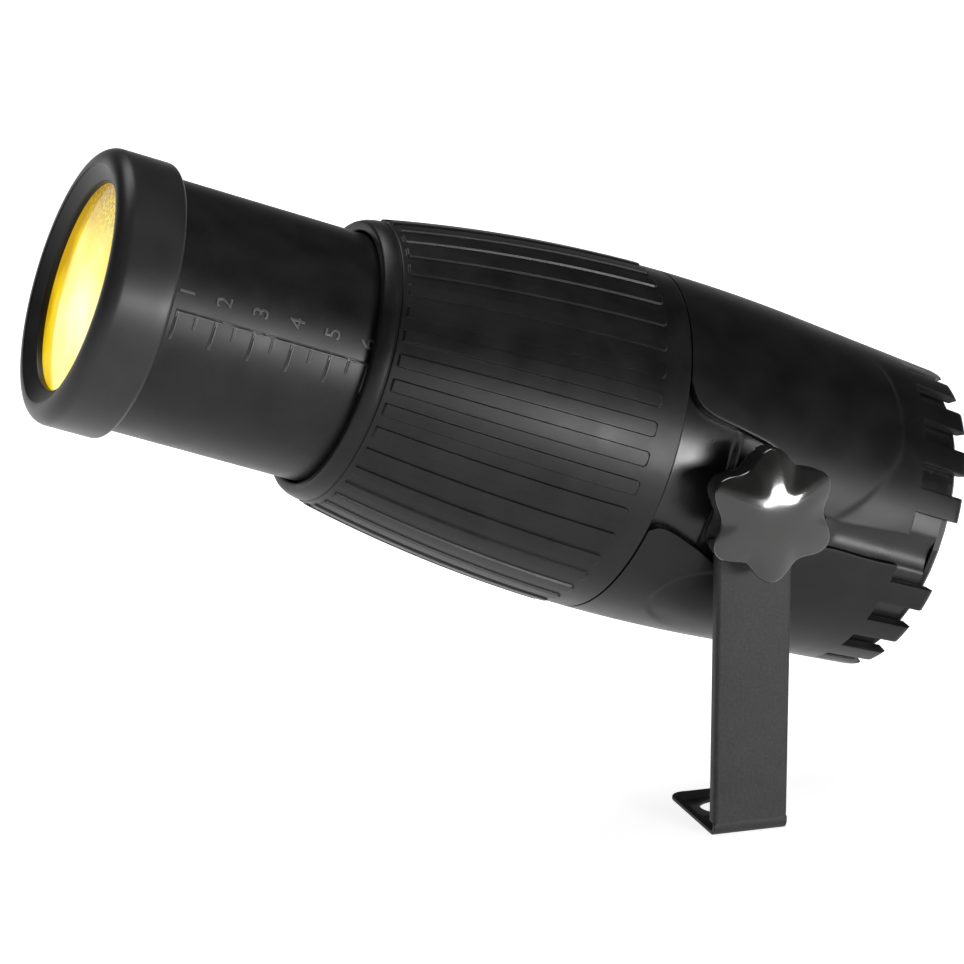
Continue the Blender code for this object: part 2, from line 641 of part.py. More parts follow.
def rear_cover():
    front = core_rear - GAP
    rear = front - COVER_THICKNESS
    radius = barrel_radius(REAR_END) - SKIN - 2 * GAP
    edge = [(radius, front), (radius, rear + 0.8), (radius - 0.8, rear)]
    cover = solid("rear_cover", [(0, front)] + edge + [(0, rear)], black_plastic, head_frame, 40)
    vents = []
    for index in range(5):
        height = 8 + 4.2 * index
        half = math.sqrt(max((radius - 9) ** 2 - height ** 2, 1.0))
        vents.append(box(f"vent_{index}", (-half, height, rear - 1), (half, height + 2.2, front + 1), None,
                         head_frame, cutters))
    boolean(cover, joined("vents", vents, head_frame))
    bore = cylinder("gland_hole", (0, -GLAND_DROP, rear - 2), (0, -GLAND_DROP, front + 2), GLAND_THREAD + GAP,
                    None, head_frame, cutters, 24)
    boolean(cover, bore)
    for index, angle in enumerate((40, 140, 220, 320)):
        x, y = polar(radius - 3 * COVER_SCREW, angle)
        hole = cylinder(f"cover_screw_hole_{index}", (x, y, rear - 2), (x, y, front + 2), COVER_SCREW + GAP, None,
                        head_frame, cutters, 12)
        boolean(cover, hole)
        screw(f"cover_screw_{index + 1}", (x, y, rear - GAP), (0, 0, -1), COVER_SCREW + 1.2, 1.4, COVER_SCREW,
              COVER_THICKNESS + GAP, head_frame)
    cable_gland(front, rear)


def cable_gland(front, rear):
    """A gland through the cover with its hexagon nut inside, placed GLAND_DROP below the centre."""
    gland_bore = GLAND_THREAD - GLAND_WALL
    hexagon = GLAND_THREAD + GLAND_FLAT
    head_rear = rear - 4.6
    seat = rear - GAP
    tip = front + 3.2
    gland = turned("cable_gland", [(GLAND_THREAD, tip), (GLAND_THREAD, seat), (hexagon, seat),
                                   (hexagon, head_rear + 1.4), (hexagon - 1.2, head_rear),
                                   (gland_bore, head_rear), (gland_bore, tip)], black_plastic, head_frame, 24)
    gland.location = (0, -GLAND_DROP * MM, 0)
    nut_inner = GLAND_THREAD + GAP
    nut_outer = hexagon + 0.6
    nut_front = front + 2.6
    nut = turned("gland_nut", [(nut_outer, nut_front), (nut_outer, front + GAP), (nut_inner, front + GAP),
                               (nut_inner, nut_front)], black_plastic, head_frame, 6)
    nut.location = gland.location
    keep = cylinder("nut_bore", (0, -GLAND_DROP, front - 1), (0, -GLAND_DROP, nut_front + 2), nut_inner, None,
                    head_frame, cutters, 24)
    boolean(nut, keep)


# ---------------------------------------------------------------- light engine

def light_engine():
    holder_outer = spigot_radius - CORE_WALL - GAP
    rear, front = PATTERN_STATION - 3.0, PATTERN_STATION + 2.4
    seat = PATTERN_STATION
    aperture = PATTERN_RADIUS - PATTERN_SEAT
    holder = turned("pattern_holder", [(holder_outer, front), (holder_outer, rear), (aperture, rear),
                                       (aperture, seat), (PATTERN_RADIUS + GAP, seat),
                                       (PATTERN_RADIUS + GAP, front)], black_paint, head_frame, 36)
    for index in range(3):
        x, y = polar(holder_outer - 8.0, 90 + 120 * index)
        hole = cylinder(f"holder_hole_{index}", (x, y, rear - 2), (x, y, front + 2), 1.4 + GAP, None, head_frame,
                        cutters, 12)
        boolean(holder, hole)
        screw(f"holder_screw_{index + 1}", (x, y, front + GAP), (0, 0, 1), 2.6, 1.4, 1.4, front - rear + GAP,
              head_frame)
    glass_front = seat + GAP + 1.0
    solid("pattern_glass", [(0, glass_front), (PATTERN_RADIUS, glass_front), (PATTERN_RADIUS, seat + GAP),
                            (0, seat + GAP)], glass, head_frame)
    spring_clip(glass_front + GAP)

    board_front = BOARD_STATION
    cup_rear = board_front + GAP
    cup_front = rear - GAP
    cup = CONDENSER_RADIUS + 2.0
    seat_rear = cup_front - 7.4
    ledge = CONDENSER_RADIUS - 1.5
    cup_wall = 1.6
    turned("condenser_holder", [(cup, cup_front), (cup, cup_rear), (cup - cup_wall, cup_rear),
                                (cup - cup_wall, seat_rear - GAP), (ledge, seat_rear - GAP), (ledge, seat_rear),
                                (CONDENSER_RADIUS + GAP, seat_rear), (CONDENSER_RADIUS + GAP, cup_front)],
           black_plastic, head_frame)
    solid("condenser_lens", lens_profile(CONDENSER_RADIUS, CONDENSER_RADIUS - 1.6, seat_rear + GAP,
                                         seat_rear + GAP + 2.2, 0.8, 3.6), glass, head_frame)

    board_rear = board_front - BOARD_THICKNESS
    board = solid("led_board", [(0, board_front), (cup, board_front), (cup, board_rear), (0, board_rear)],
                  circuit, head_frame)
    emitter_base = board_front + GAP
    dome = arc((0, emitter_base + 1.2), 2.4, 90, 0, 4)
    solid("led_emitter", dome + [(3.4, emitter_base + 1.2), (3.4, emitter_base), (0, emitter_base)], emitter,
          head_frame, 20)
    for index, angle in enumerate((0, 180)):
        x, y = polar(10.0, angle)
        hole = cylinder(f"board_hole_{index}", (x, y, board_rear - 1), (x, y, board_front + 1), 1.2 + GAP, None,
                        head_frame, cutters, 12)
        boolean(board, hole)
        screw(f"board_screw_{index + 1}", (x, y, board_front + GAP), (0, 0, 1), 2.2, 1.2, 1.2,
              board_front - board_rear + GAP, head_frame)

    sink_front = board_rear - GAP
    sink_rear = sink_front - SINK_LENGTH
    sink = solid("heatsink", [(0, sink_front), (SINK_RADIUS, sink_front), (SINK_RADIUS, sink_rear),
                              (0, sink_rear)], aluminium, head_frame, 40)
    pitch = 2 * SINK_RADIUS / (SINK_SLOTS + 0.6)
    slots = []
    for index in range(SINK_SLOTS):
        x = (index - (SINK_SLOTS - 1) / 2) * pitch
        slots.append(box(f"slot_{index}", (x - pitch * 0.31, -SINK_RADIUS - 4, sink_rear - 1),
                         (x + pitch * 0.31, SINK_RADIUS + 4, sink_front - 4.0), None, head_frame, cutters))
    boolean(sink, joined("slots", slots, head_frame))

    cooling_fan(sink_rear - GAP)

    driver_top = -(SINK_RADIUS + 2.0)
    driver_bottom = driver_top - BOARD_THICKNESS
    driver_rear = sink_rear + 1.0
    box("driver_board", (-15, driver_bottom, driver_rear), (15, driver_top, sink_front + 8), circuit, head_frame)
    under = driver_bottom - GAP
    box("driver_transformer", (-6, under - 4.6, driver_rear + 3), (4, under, driver_rear + 13), black_plastic,
        head_frame)
    cylinder("driver_capacitor", (9.5, under - 2.3, driver_rear + 2), (9.5, under - 2.3, driver_rear + 13), 2.2,
             gloss_black, head_frame, facets=16)


def spring_clip(station):
    """An open ring of round wire that holds the pattern glass in its seat."""
    wire = 0.5
    ring = PATTERN_RADIUS - wire - 0.1
    curve = bpy.data.curves.new("spring_clip", "CURVE")
    curve.dimensions = "3D"
    curve.bevel_depth = wire * MM
    curve.bevel_resolution = 1
    curve.use_fill_caps = True
    spline = curve.splines.new("POLY")
    points = [(*polar(ring, angle), station + wire) for angle in np.linspace(20, 340, 25)]
    spline.points.add(len(points) - 1)
    for point, place in zip(spline.points, points):
        point.co = (*(Vector(place) * MM), 1.0)
    add_object("spring_clip", curve, steel, head_frame)


def cooling_fan(front):
    rear = front - FAN_DEPTH
    half = FAN_SIZE / 2
    corner = 3.0
    corners = [(half - corner, half - corner), (corner - half, half - corner), (corner - half, corner - half),
               (half - corner, corner - half)]
    square = [point for index, centre in enumerate(corners)
              for point in arc(centre, corner, 90 * index, 90 * index + 90, 3)]
    frame = plate("fan_frame", square, rear, front, black_plastic, head_frame)
    boolean(frame, cylinder("fan_bore", (0, 0, rear - 1), (0, 0, front - 1.6), fan_bore, None, head_frame,
                            cutters, 40))
    window = cylinder("fan_window", (0, 0, front - 2.6), (0, 0, front + 1), fan_bore, None, head_frame,
                      cutters, 40)
    spider = cylinder("fan_hub", (0, 0, front - 3.6), (0, 0, front + 2), FAN_HUB, None, head_frame, cutters, 24)
    boolean(window, spider)
    arms = []
    for index in range(3):
        mesh = box_mesh("arm", (FAN_HUB - 3, -1.3, front - 3.6), (fan_bore + 3, 1.3, front + 2))
        mesh.transform(Matrix.Rotation(math.radians(30 + 120 * index), 4, "Z"))
        arms.append(add_object(f"arm_{index}", mesh, None, head_frame, cutters))
    boolean(window, joined("fan_arms", arms, head_frame))
    boolean(frame, window)
    reach = half - FAN_SCREW_INSET
    for index, (x, y) in enumerate(((reach, reach), (-reach, reach), (-reach, -reach), (reach, -reach))):
        hole = cylinder(f"fan_hole_{index}", (x, y, rear - 1), (x, y, front + 1), 1.5 + GAP, None, head_frame,
                        cutters, 12)
        boolean(frame, hole)
        if index % 2 == 0:
            screw(f"fan_screw_{index // 2 + 1}", (x, y, rear - GAP), (0, 0, -1), 2.6, 1.2, 1.5,
                  FAN_DEPTH - 0.4, head_frame)

    rotor_front = front - 1.6 - RUN
    rotor_rear = rear + 0.4
    hub_radius = FAN_HUB + RUN
    rotor = solid("fan_rotor", [(0, rotor_front), (hub_radius, rotor_front), (hub_radius, rotor_rear),
                                (0, rotor_rear)], black_plastic, rotor_frame, 24)
    blade_outer = fan_bore - 2 * RUN
    blades = []
    depth = rotor_front - rotor_rear - 0.8
    for index in range(FAN_BLADES):
        mesh = box_mesh("blade", (hub_radius - 2, -0.6, -depth * 0.62), (blade_outer - 0.4, 0.6, depth * 0.62))
        turn = Matrix.Rotation(math.tau * index / FAN_BLADES, 4, "Z")
        place = Matrix.Translation((0, 0, (rotor_front + rotor_rear) / 2 * MM))
        mesh.transform(place @ turn @ Matrix.Rotation(math.radians(42), 4, "X"))
        blades.append(add_object(f"blade_{index}", mesh, None, rotor_frame, cutters))
    boolean(rotor, joined("fan_blades", blades, rotor_frame), "UNION")


# ---------------------------------------------------------------- bracket and clamp

def bracket():
    """One strip of sheet bent at the foot, with its arm's long edges folded in."""
    half = ARM_WIDTH / 2
    foot_under = -PIVOT_HEIGHT
    foot_end = arm_outer - FOOT_LENGTH
    bend_outer, bend_inner = BEND_RADIUS, BEND_RADIUS - SHEET
    bend = (arm_outer - bend_outer, foot_under + bend_outer)
    top = half
    section = ([(arm_outer, top)] + arc(bend, bend_outer, 0, -90, 4) + [(foot_end, foot_under)]
               + [(foot_end, foot_under + SHEET)] + arc(bend, bend_inner, -90, 0, 4) + [(arm_inner, top)])
    strip = plate("bracket", section, -half, half, black_paint, bracket_frame, axis="Y")
    flange_low = foot_under + BEND_RADIUS + 1.0
    for side in (1, -1):
        edges = sorted((side * half, side * (half - SHEET)))
        fold = box(f"flange_{side}", (flange_inner, edges[0], flange_low),
                   (arm_outer - 0.2, edges[1], FLANGE_TOP), None, bracket_frame, cutters)
        boolean(strip, fold, "UNION")
    arch = arc((0, 0), half, 0, 180, 16)
    corners = [(-half - 2, 0), (-half - 2, half + 2), (half + 2, half + 2), (half + 2, 0)]
    waste = plate("arm_top", arch + corners, arm_inner - 5, arm_outer + 5, None, bracket_frame, cutters,
                  axis="X")
    boolean(strip, waste)
    for side in (1, -1):
        centre = (foot_end + FOOT_CORNER, side * (half - FOOT_CORNER))
        rounding = arc(centre, FOOT_CORNER, 180, 180 - side * 90, 4)
        beyond = [(foot_end - 2, side * (half + 2)), (foot_end - 2, side * (half - FOOT_CORNER))]
        chip = plate(f"foot_corner_{side}", beyond + rounding + [(foot_end + FOOT_CORNER, side * (half + 2))],
                     foot_under - 2, foot_under + SHEET + 2, None, bracket_frame, cutters)
        boolean(strip, chip)
    hole_x = arm_outer - FOOT_HOLE_INSET
    boolean(strip, cylinder("foot_hole", (hole_x, 0, foot_under - 2), (hole_x, 0, foot_under + 4),
                            FOOT_HOLE_RADIUS, None, bracket_frame, cutters, 32))
    boolean(strip, cylinder("arm_hole", (arm_inner - 3, 0, 0), (arm_outer + 3, 0, 0), STUD_RADIUS + RUN, None,
                            bracket_frame, cutters, 24))


def clamp():
    """Washer, knob and stud, turned about the tilt axis; X is that axis."""
    sideways = (0, math.pi / 2, 0)
    seat = arm_outer + GAP
    washer_out = seat + WASHER_THICKNESS
    washer_bore = STUD_RADIUS + RUN
    washer = turned("clamp_washer", [(WASHER_RADIUS, washer_out), (WASHER_RADIUS, seat), (washer_bore, seat),
                                     (washer_bore, washer_out)], steel, clamp_frame, 28)
    washer.rotation_euler = sideways
    knob_in = washer_out + GAP
    knob_out = knob_in + KNOB_DEPTH
    stud_out = knob_out - 4.0
    stud_in = recess_floor - CORE_WALL - 2.0
    stud = cylinder("clamp_stud", (stud_in, 0, 0), (stud_out, 0, 0), STUD_RADIUS, steel, clamp_frame, facets=20)
    stud.modifiers.new("edge", "BEVEL").width = 0.4 * MM

    angles = np.radians(np.arange(48) * 7.5)
    swing = KNOB_LOBE / 2
    mid = KNOB_RADIUS - swing
    bm = bmesh.new()
    levels = [(knob_in, 0.80), (knob_in + 1.2, 0.94), (knob_in + 5.0, 1.0), (knob_in + 8.2, 0.97),
              (knob_in + 10.6, 0.84), (knob_out, 0.5)]
    loops = []
    for x, share in levels:
        reach = share * (mid + swing * np.cos(KNOB_LOBES * (angles - math.pi / 2)) * min(1.0, share + 0.1))
        ring = [Vector((x, r * math.cos(t), r * math.sin(t))) * MM for r, t in zip(reach, angles)]
        loops.append([bm.verts.new(place) for place in ring])
    for lower, upper in zip(loops, loops[1:]):
        for i in range(len(lower)):
            j = (i + 1) % len(lower)
            bm.faces.new((lower[i], lower[j], upper[j], upper[i]))
    bm.faces.new(reversed(loops[0]))
    bm.faces.new(loops[-1])
    knob = add_object("clamp_knob", mesh_from_bmesh("clamp_knob", bm, 50), gloss_black, clamp_frame)
    bore = cylinder("knob_bore", (knob_in - 2, 0, 0), (stud_out + GAP, 0, 0), STUD_RADIUS + GAP, None,
                    clamp_frame, cutters, 20)
    boolean(knob, bore)


focus_tube_body()
sleeve_body()
core_housing()
shell("upper_shell", UPPER_EDGE, True)
shell("lower_shell", LOWER_EDGE, False)
pivot_fittings()
rear_cover()
light_engine()
bracket()
clamp()
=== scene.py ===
# %% [markdown]
# # A compact pattern spotlight, dressed for the studio
#
# The lamp is a barrel of black mouldings hung on a bent steel bracket: a lens bezel and a focus tube that
# slides, a ribbed grip sleeve that twists, and a rear housing made of a glossy core under two matt shells.
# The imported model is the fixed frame. Each surface that shows is rebuilt here as a fine numpy surface in the
# same place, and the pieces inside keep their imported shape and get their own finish.

import json
import math

import bmesh
import bpy
import numpy as np
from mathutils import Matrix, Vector


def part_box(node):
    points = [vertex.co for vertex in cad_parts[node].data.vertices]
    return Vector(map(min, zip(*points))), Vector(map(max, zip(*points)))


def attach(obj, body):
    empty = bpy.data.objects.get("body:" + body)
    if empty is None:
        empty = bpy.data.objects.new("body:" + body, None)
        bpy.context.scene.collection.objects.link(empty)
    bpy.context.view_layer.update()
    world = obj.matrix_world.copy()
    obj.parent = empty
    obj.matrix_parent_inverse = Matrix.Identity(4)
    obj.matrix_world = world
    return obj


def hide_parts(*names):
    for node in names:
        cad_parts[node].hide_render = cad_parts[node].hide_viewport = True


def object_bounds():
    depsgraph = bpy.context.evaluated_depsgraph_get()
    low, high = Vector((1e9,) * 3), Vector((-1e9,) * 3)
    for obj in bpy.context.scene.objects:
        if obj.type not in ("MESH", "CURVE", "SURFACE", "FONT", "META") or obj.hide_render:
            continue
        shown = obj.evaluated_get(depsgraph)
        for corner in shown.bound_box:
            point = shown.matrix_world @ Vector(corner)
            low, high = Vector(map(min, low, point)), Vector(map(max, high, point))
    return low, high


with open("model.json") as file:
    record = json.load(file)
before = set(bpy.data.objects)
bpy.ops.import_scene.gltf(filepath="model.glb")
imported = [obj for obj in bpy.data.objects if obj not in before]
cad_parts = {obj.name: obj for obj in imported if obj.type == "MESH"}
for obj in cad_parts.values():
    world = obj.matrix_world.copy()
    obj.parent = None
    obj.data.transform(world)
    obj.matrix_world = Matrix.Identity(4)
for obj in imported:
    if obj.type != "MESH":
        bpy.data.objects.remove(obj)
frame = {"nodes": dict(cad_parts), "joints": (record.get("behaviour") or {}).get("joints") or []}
cad_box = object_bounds()

# %% [markdown]
# Everything in the barrel is turned about one line, the optical axis, which the sleeve's twist joint states.
# Working in barrel coordinates keeps the formulas short: x points at the bracket's arm, y runs up across the
# barrel, and the third number is the station along the axis towards the lens, all in millimetres from the
# point where the tilt axis crosses it.

# %% Barrel coordinates
joints = {joint["name"]: joint for joint in frame["joints"]}
pivot = np.array(joints["head_tilt"]["pos_m"])
along = np.array(joints["sleeve_twist"]["axis"], float)
along /= np.linalg.norm(along)
side = np.array([1.0, 0.0, 0.0])
across = np.cross(along, side)
MM = 0.001  # metres


def place(x, y, station):
    """Barrel millimetres to the frame's metres: the pivot, plus each number times its own direction."""
    x, y, station = np.broadcast_arrays(x, y, station)
    return pivot + MM * (x[..., None] * side + y[..., None] * across + station[..., None] * along)


def width_of(node):
    """A node's size along x, in millimetres."""
    low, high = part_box(node)
    return (high.x - low.x) * 1000


BARREL_SWELL = 12.8  # from the tube's wall to the widest place of the barrel
tube_radius = width_of("focus_tube") / 2
bezel_radius = width_of("lens_bezel") / 2
widest_radius = tube_radius + BARREL_SWELL
print(f"tube {tube_radius:.2f}, bezel {bezel_radius:.2f}, shells {widest_radius:.2f} mm, tilt "
      f"{math.degrees(math.asin(along[2])):.1f} degrees")

# %% [markdown]
# A lattice of points, rows by columns, is all that a curved moulding needs. One helper turns such a lattice
# into a mesh, closes it in either direction and turns every face outwards: it adds up the volume that the
# faces sweep from a point inside, and turns them round if that comes out negative. Poles, where a whole row
# falls on one point, are welded.

# %% Surface helpers
WELD = 1e-7  # metres within which points become one


def lattice_faces(rows, columns, wrap_rows, wrap_columns):
    """Index quads of a lattice: each face takes a point, its neighbours and the point opposite."""
    i, j = np.meshgrid(np.arange(rows if wrap_rows else rows - 1),
                       np.arange(columns if wrap_columns else columns - 1), indexing="ij")
    up, over = (i + 1) % rows, (j + 1) % columns
    return np.stack([i * columns + j, up * columns + j, up * columns + over, i * columns + over], -1)


def outward(points, faces, centre):
    """Reverses the faces if the volume swept from the centre, a sum of triple products, is negative."""
    p = points[faces] - centre
    swept = np.einsum("ij,ij->i", p[:, 0], np.cross(p[:, 1], p[:, 2]) + np.cross(p[:, 2], p[:, 3]))
    return faces[:, ::-1] if swept.sum() < 0 else faces


def make_object(name, points, faces, sharp=30):
    """Puts points and quads into a mesh with foreach_set, then welds doubles and marks sharp edges."""
    mesh = bpy.data.meshes.new(name)
    mesh.vertices.add(len(points))
    mesh.vertices.foreach_set("co", points.astype(np.float32).ravel())
    mesh.loops.add(faces.size)
    mesh.loops.foreach_set("vertex_index", faces.astype(np.int32).ravel())
    mesh.polygons.add(len(faces))
    mesh.polygons.foreach_set("loop_start", np.arange(0, faces.size, 4, dtype=np.int32))
    mesh.update(calc_edges=True)
    bm = bmesh.new()
    bm.from_mesh(mesh)
    bmesh.ops.remove_doubles(bm, verts=bm.verts, dist=WELD)
    bm.to_mesh(mesh)
    bm.free()
    mesh.shade_smooth()
    mesh.set_sharp_from_angle(angle=math.radians(sharp))
    obj = bpy.data.objects.new(name, mesh)
    bpy.context.scene.collection.objects.link(obj)
    return obj


def surface(name, lattice, wrap_rows=True, wrap_columns=True, sharp=30, keep=None):
    """A mesh from a lattice of points; keep is a mask of the cells that stay."""
    rows, columns = lattice.shape[:2]
    cells = lattice_faces(rows, columns, wrap_rows, wrap_columns)
    faces = (cells[keep] if keep is not None else cells.reshape(-1, 4))
    points = lattice.reshape(-1, 3)
    closed = wrap_rows and wrap_columns
    faces = outward(points, faces, points.mean(0) if closed else pivot)
    return make_object(name, points, faces, sharp)


# %% [markdown]
# Each finished piece needs the same three things: its finish, the imported nodes that it stands for,
# and the body that it moves with.

# %% Dressing and profile helpers
def dress(obj, body, slot, *nodes, material):
    """Gives a finished piece its material, the nodes it stands for and its body; slot is not used."""
    obj.data.materials.clear()
    obj.data.materials.append(material)
    if nodes:
        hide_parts(*nodes)
    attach(obj, body)
    print(f"{obj.name}: {len(obj.data.polygons)} faces on {body}")
    return obj


def ease(low, high, value):
    """A smooth step: 0 below low, 1 above high, and 3t squared minus 2t cubed between."""
    t = np.clip((value - low) / (high - low), 0, 1)
    return t * t * (3 - 2 * t)


def spun(name, profile, columns=192, **options):
    """A turned piece: every (radius, station) point of a closed profile is carried round the axis."""
    radius, station = np.array(profile, float).T
    angle = np.linspace(0, 2 * np.pi, columns, endpoint=False)
    lattice = place(radius[:, None] * np.cos(angle), radius[:, None] * np.sin(angle), station[:, None])
    return surface(name, lattice, **options)


def round_corner(centre, radius, start, end, steps=8):
    """Points of an arc in the profile plane, from one angle to another in degrees."""
    turn = np.radians(np.linspace(start, end, steps + 1))
    return np.column_stack([centre[0] + radius * np.cos(turn), centre[1] + radius * np.sin(turn)])


# %% [markdown]
# ## Finishes
#
# Almost all of this lamp is black, so the finishes differ by texture and gloss, not by hue. Each moulded
# plastic is a near-black whose tone drifts a little, with a fine grain in the bump and a second, broader
# noise in the roughness, as a textured mould leaves it. The grain is sized in millimetres on Object
# coordinates, so it doesn't stretch with the piece.

# %% Material helpers
def new_finish(name):
    """An empty node material, its Principled shader and an Object coordinate socket."""
    material = bpy.data.materials.new(name)
    material.use_nodes = True
    tree = material.node_tree
    shader = tree.nodes["Principled BSDF"]
    coordinates = tree.nodes.new("ShaderNodeTexCoord").outputs["Object"]
    return material, tree, shader, coordinates


def add_noise(tree, coordinates, grain_mm, detail=2.0, roughness=0.5):
    """Noise whose features are about grain_mm across."""
    noise = tree.nodes.new("ShaderNodeTexNoise")
    noise.inputs["Scale"].default_value = 1000 / grain_mm
    noise.inputs["Detail"].default_value = detail
    noise.inputs["Roughness"].default_value = roughness
    tree.links.new(coordinates, noise.inputs["Vector"])
    return noise.outputs["Fac"]


def blend_tones(tree, factor, dark, light, low=0.35, high=0.65):
    """A colour ramp between two tones, driven by a pattern."""
    ramp = tree.nodes.new("ShaderNodeValToRGB")
    ramp.color_ramp.elements[0].position = low
    ramp.color_ramp.elements[1].position = high
    ramp.color_ramp.elements[0].color = (*dark, 1.0)
    ramp.color_ramp.elements[1].color = (*light, 1.0)
    tree.links.new(factor, ramp.inputs["Fac"])
    return ramp.outputs["Color"]


def map_range(tree, factor, low, high, from_low=0.3, from_high=0.7):
    """A pattern rescaled to run between two values; noise seldom leaves 0.3 to 0.7."""
    node = tree.nodes.new("ShaderNodeMapRange")
    for socket, value in (("From Min", from_low), ("From Max", from_high), ("To Min", low), ("To Max", high)):
        node.inputs[socket].default_value = value
    tree.links.new(factor, node.inputs["Value"])
    return node.outputs["Result"]


def add_bump(tree, shader, height, depth_mm):
    """Bump from a pattern, with its real depth."""
    bump = tree.nodes.new("ShaderNodeBump")
    bump.inputs["Strength"].default_value = 1.0
    bump.inputs["Distance"].default_value = depth_mm / 1000
    tree.links.new(height, bump.inputs["Height"])
    tree.links.new(bump.outputs["Normal"], shader.inputs["Normal"])


# %% [markdown]
# One recipe serves every moulded or coated surface. Half of a broad noise and half of the grain choose the
# tone, the broad noise alone chooses the roughness, and the grain alone is the bump. What tells a grained
# plastic from powder coat or gloss is only the numbers: tone, roughness, grain size and depth.

# %% Moulded finish
DRIFT = 9.0  # millimetres across the broad changes of tone


def moulded(name, dark, light, rough, grain_mm, depth_mm, coat=0.0, specular=0.24):
    """Moulded or coated surface: two tones on a broad noise, roughness on it too, and a fine grain as bump."""
    material, tree, shader, coordinates = new_finish(name)
    drift = add_noise(tree, coordinates, DRIFT, 3.0)
    grain = add_noise(tree, coordinates, grain_mm, 2.0, 0.6)
    mixed = tree.nodes.new("ShaderNodeMath")
    mixed.operation = "MULTIPLY_ADD"
    mixed.inputs[1].default_value = 0.5
    tree.links.new(grain, mixed.inputs[0])
    half = tree.nodes.new("ShaderNodeMath")
    half.operation = "MULTIPLY"
    half.inputs[1].default_value = 0.5
    tree.links.new(drift, half.inputs[0])
    tree.links.new(half.outputs[0], mixed.inputs[2])
    tree.links.new(blend_tones(tree, mixed.outputs[0], dark, light), shader.inputs["Base Color"])
    tree.links.new(map_range(tree, drift, *rough), shader.inputs["Roughness"])
    add_bump(tree, shader, grain, depth_mm)
    shader.inputs["Coat Weight"].default_value = coat
    shader.inputs["Coat Roughness"].default_value = 0.06
    shader.inputs["Specular IOR Level"].default_value = specular
    return material


# %% The black finishes
grained_black = moulded("grained_black", (0.003, 0.003, 0.003), (0.009, 0.009, 0.009), (0.36, 0.44), 0.35, 0.014)
shell_black = moulded("shell_black", (0.003, 0.003, 0.003), (0.007, 0.007, 0.007), (0.36, 0.43), 0.30, 0.008)
core_gloss = moulded("core_gloss", (0.003, 0.003, 0.003), (0.006, 0.006, 0.006), (0.27, 0.34), 1.2, 0.003,
                     specular=0.4)
bezel_satin = moulded("bezel_satin", (0.016, 0.016, 0.0165), (0.021, 0.021, 0.0215), (0.33, 0.40), 0.5, 0.003)
knob_gloss = moulded("knob_gloss", (0.010, 0.010, 0.0095), (0.014, 0.014, 0.0135), (0.10, 0.15), 4.0, 0.002,
                     coat=0.4, specular=0.5)
# Painted highlight: the raised scale marks and numbers are the tube's black plastic, toned lighter to look lit.
scale_painted_highlight = moulded("scale_painted_highlight", (0.020, 0.020, 0.020), (0.030, 0.030, 0.030), (0.28, 0.36), 0.5, 0.002,
                      specular=0.6)
powder_coat = moulded("powder_coat", (0.010, 0.010, 0.0103), (0.024, 0.024, 0.0245), (0.50, 0.60), 0.8, 0.04)
inner_black = moulded("inner_black", (0.008, 0.008, 0.008), (0.015, 0.015, 0.015), (0.5, 0.6), 0.5, 0.01)
soft_rubber = moulded("soft_rubber", (0.010, 0.010, 0.010), (0.018, 0.018, 0.018), (0.7, 0.85), 0.25, 0.02)
print("black finishes:", len(bpy.data.materials))

# %% [markdown]
# The metals inside and at the clamp are bare. Turned and drawn metal carries fine lines, so a noise is
# stretched along one direction with a Mapping node and drives both the roughness and a very shallow bump.

# %% Metals
LINE_SQUEEZE = (1.0, 1.0, 12.0)


def drawn_metal(name, dark, light, rough):
    """Bare metal with fine lines: noise squeezed across the lines."""
    material, tree, shader, coordinates = new_finish(name)
    mapping = tree.nodes.new("ShaderNodeMapping")
    mapping.inputs["Scale"].default_value = LINE_SQUEEZE
    tree.links.new(coordinates, mapping.inputs["Vector"])
    lines = add_noise(tree, mapping.outputs["Vector"], 2.5, 4.0, 0.6)
    tree.links.new(blend_tones(tree, lines, dark, light), shader.inputs["Base Color"])
    tree.links.new(map_range(tree, lines, *rough), shader.inputs["Roughness"])
    add_bump(tree, shader, lines, 0.01)
    shader.inputs["Metallic"].default_value = 1.0
    return material


bright_steel = drawn_metal("bright_steel", (0.50, 0.50, 0.51), (0.64, 0.64, 0.65), (0.25, 0.38))
turned_brass = drawn_metal("turned_brass", (0.62, 0.46, 0.20), (0.76, 0.60, 0.30), (0.25, 0.36))
milled_aluminium = drawn_metal("milled_aluminium", (0.66, 0.67, 0.69), (0.78, 0.79, 0.80), (0.30, 0.42))


print("metals:", bright_steel.name, turned_brass.name, milled_aluminium.name)

# %% [markdown]
# Three finishes inside are none of these: the boards' green mask with tracks under it, the yellow phosphor
# on the light source, and clear optical glass. Each has its own pattern, because each is made differently.

# %% Board, phosphor and glass
def board_green():
    """Solder mask with copper tracks under it: a brick pattern for tracks, and a light coat."""
    material, tree, shader, coordinates = new_finish("board_green")
    tracks = tree.nodes.new("ShaderNodeTexBrick")
    tracks.inputs["Scale"].default_value = 160.0
    tracks.inputs["Mortar Size"].default_value = 0.06
    tracks.inputs["Color1"].default_value = (0.012, 0.070, 0.028, 1.0)
    tracks.inputs["Color2"].default_value = (0.014, 0.085, 0.034, 1.0)
    tracks.inputs["Mortar"].default_value = (0.05, 0.18, 0.07, 1.0)
    tree.links.new(coordinates, tracks.inputs["Vector"])
    tree.links.new(tracks.outputs["Color"], shader.inputs["Base Color"])
    tree.links.new(map_range(tree, tracks.outputs["Fac"], 0.28, 0.42, 0.0, 1.0), shader.inputs["Roughness"])
    add_bump(tree, shader, tracks.outputs["Fac"], 0.03)
    return material


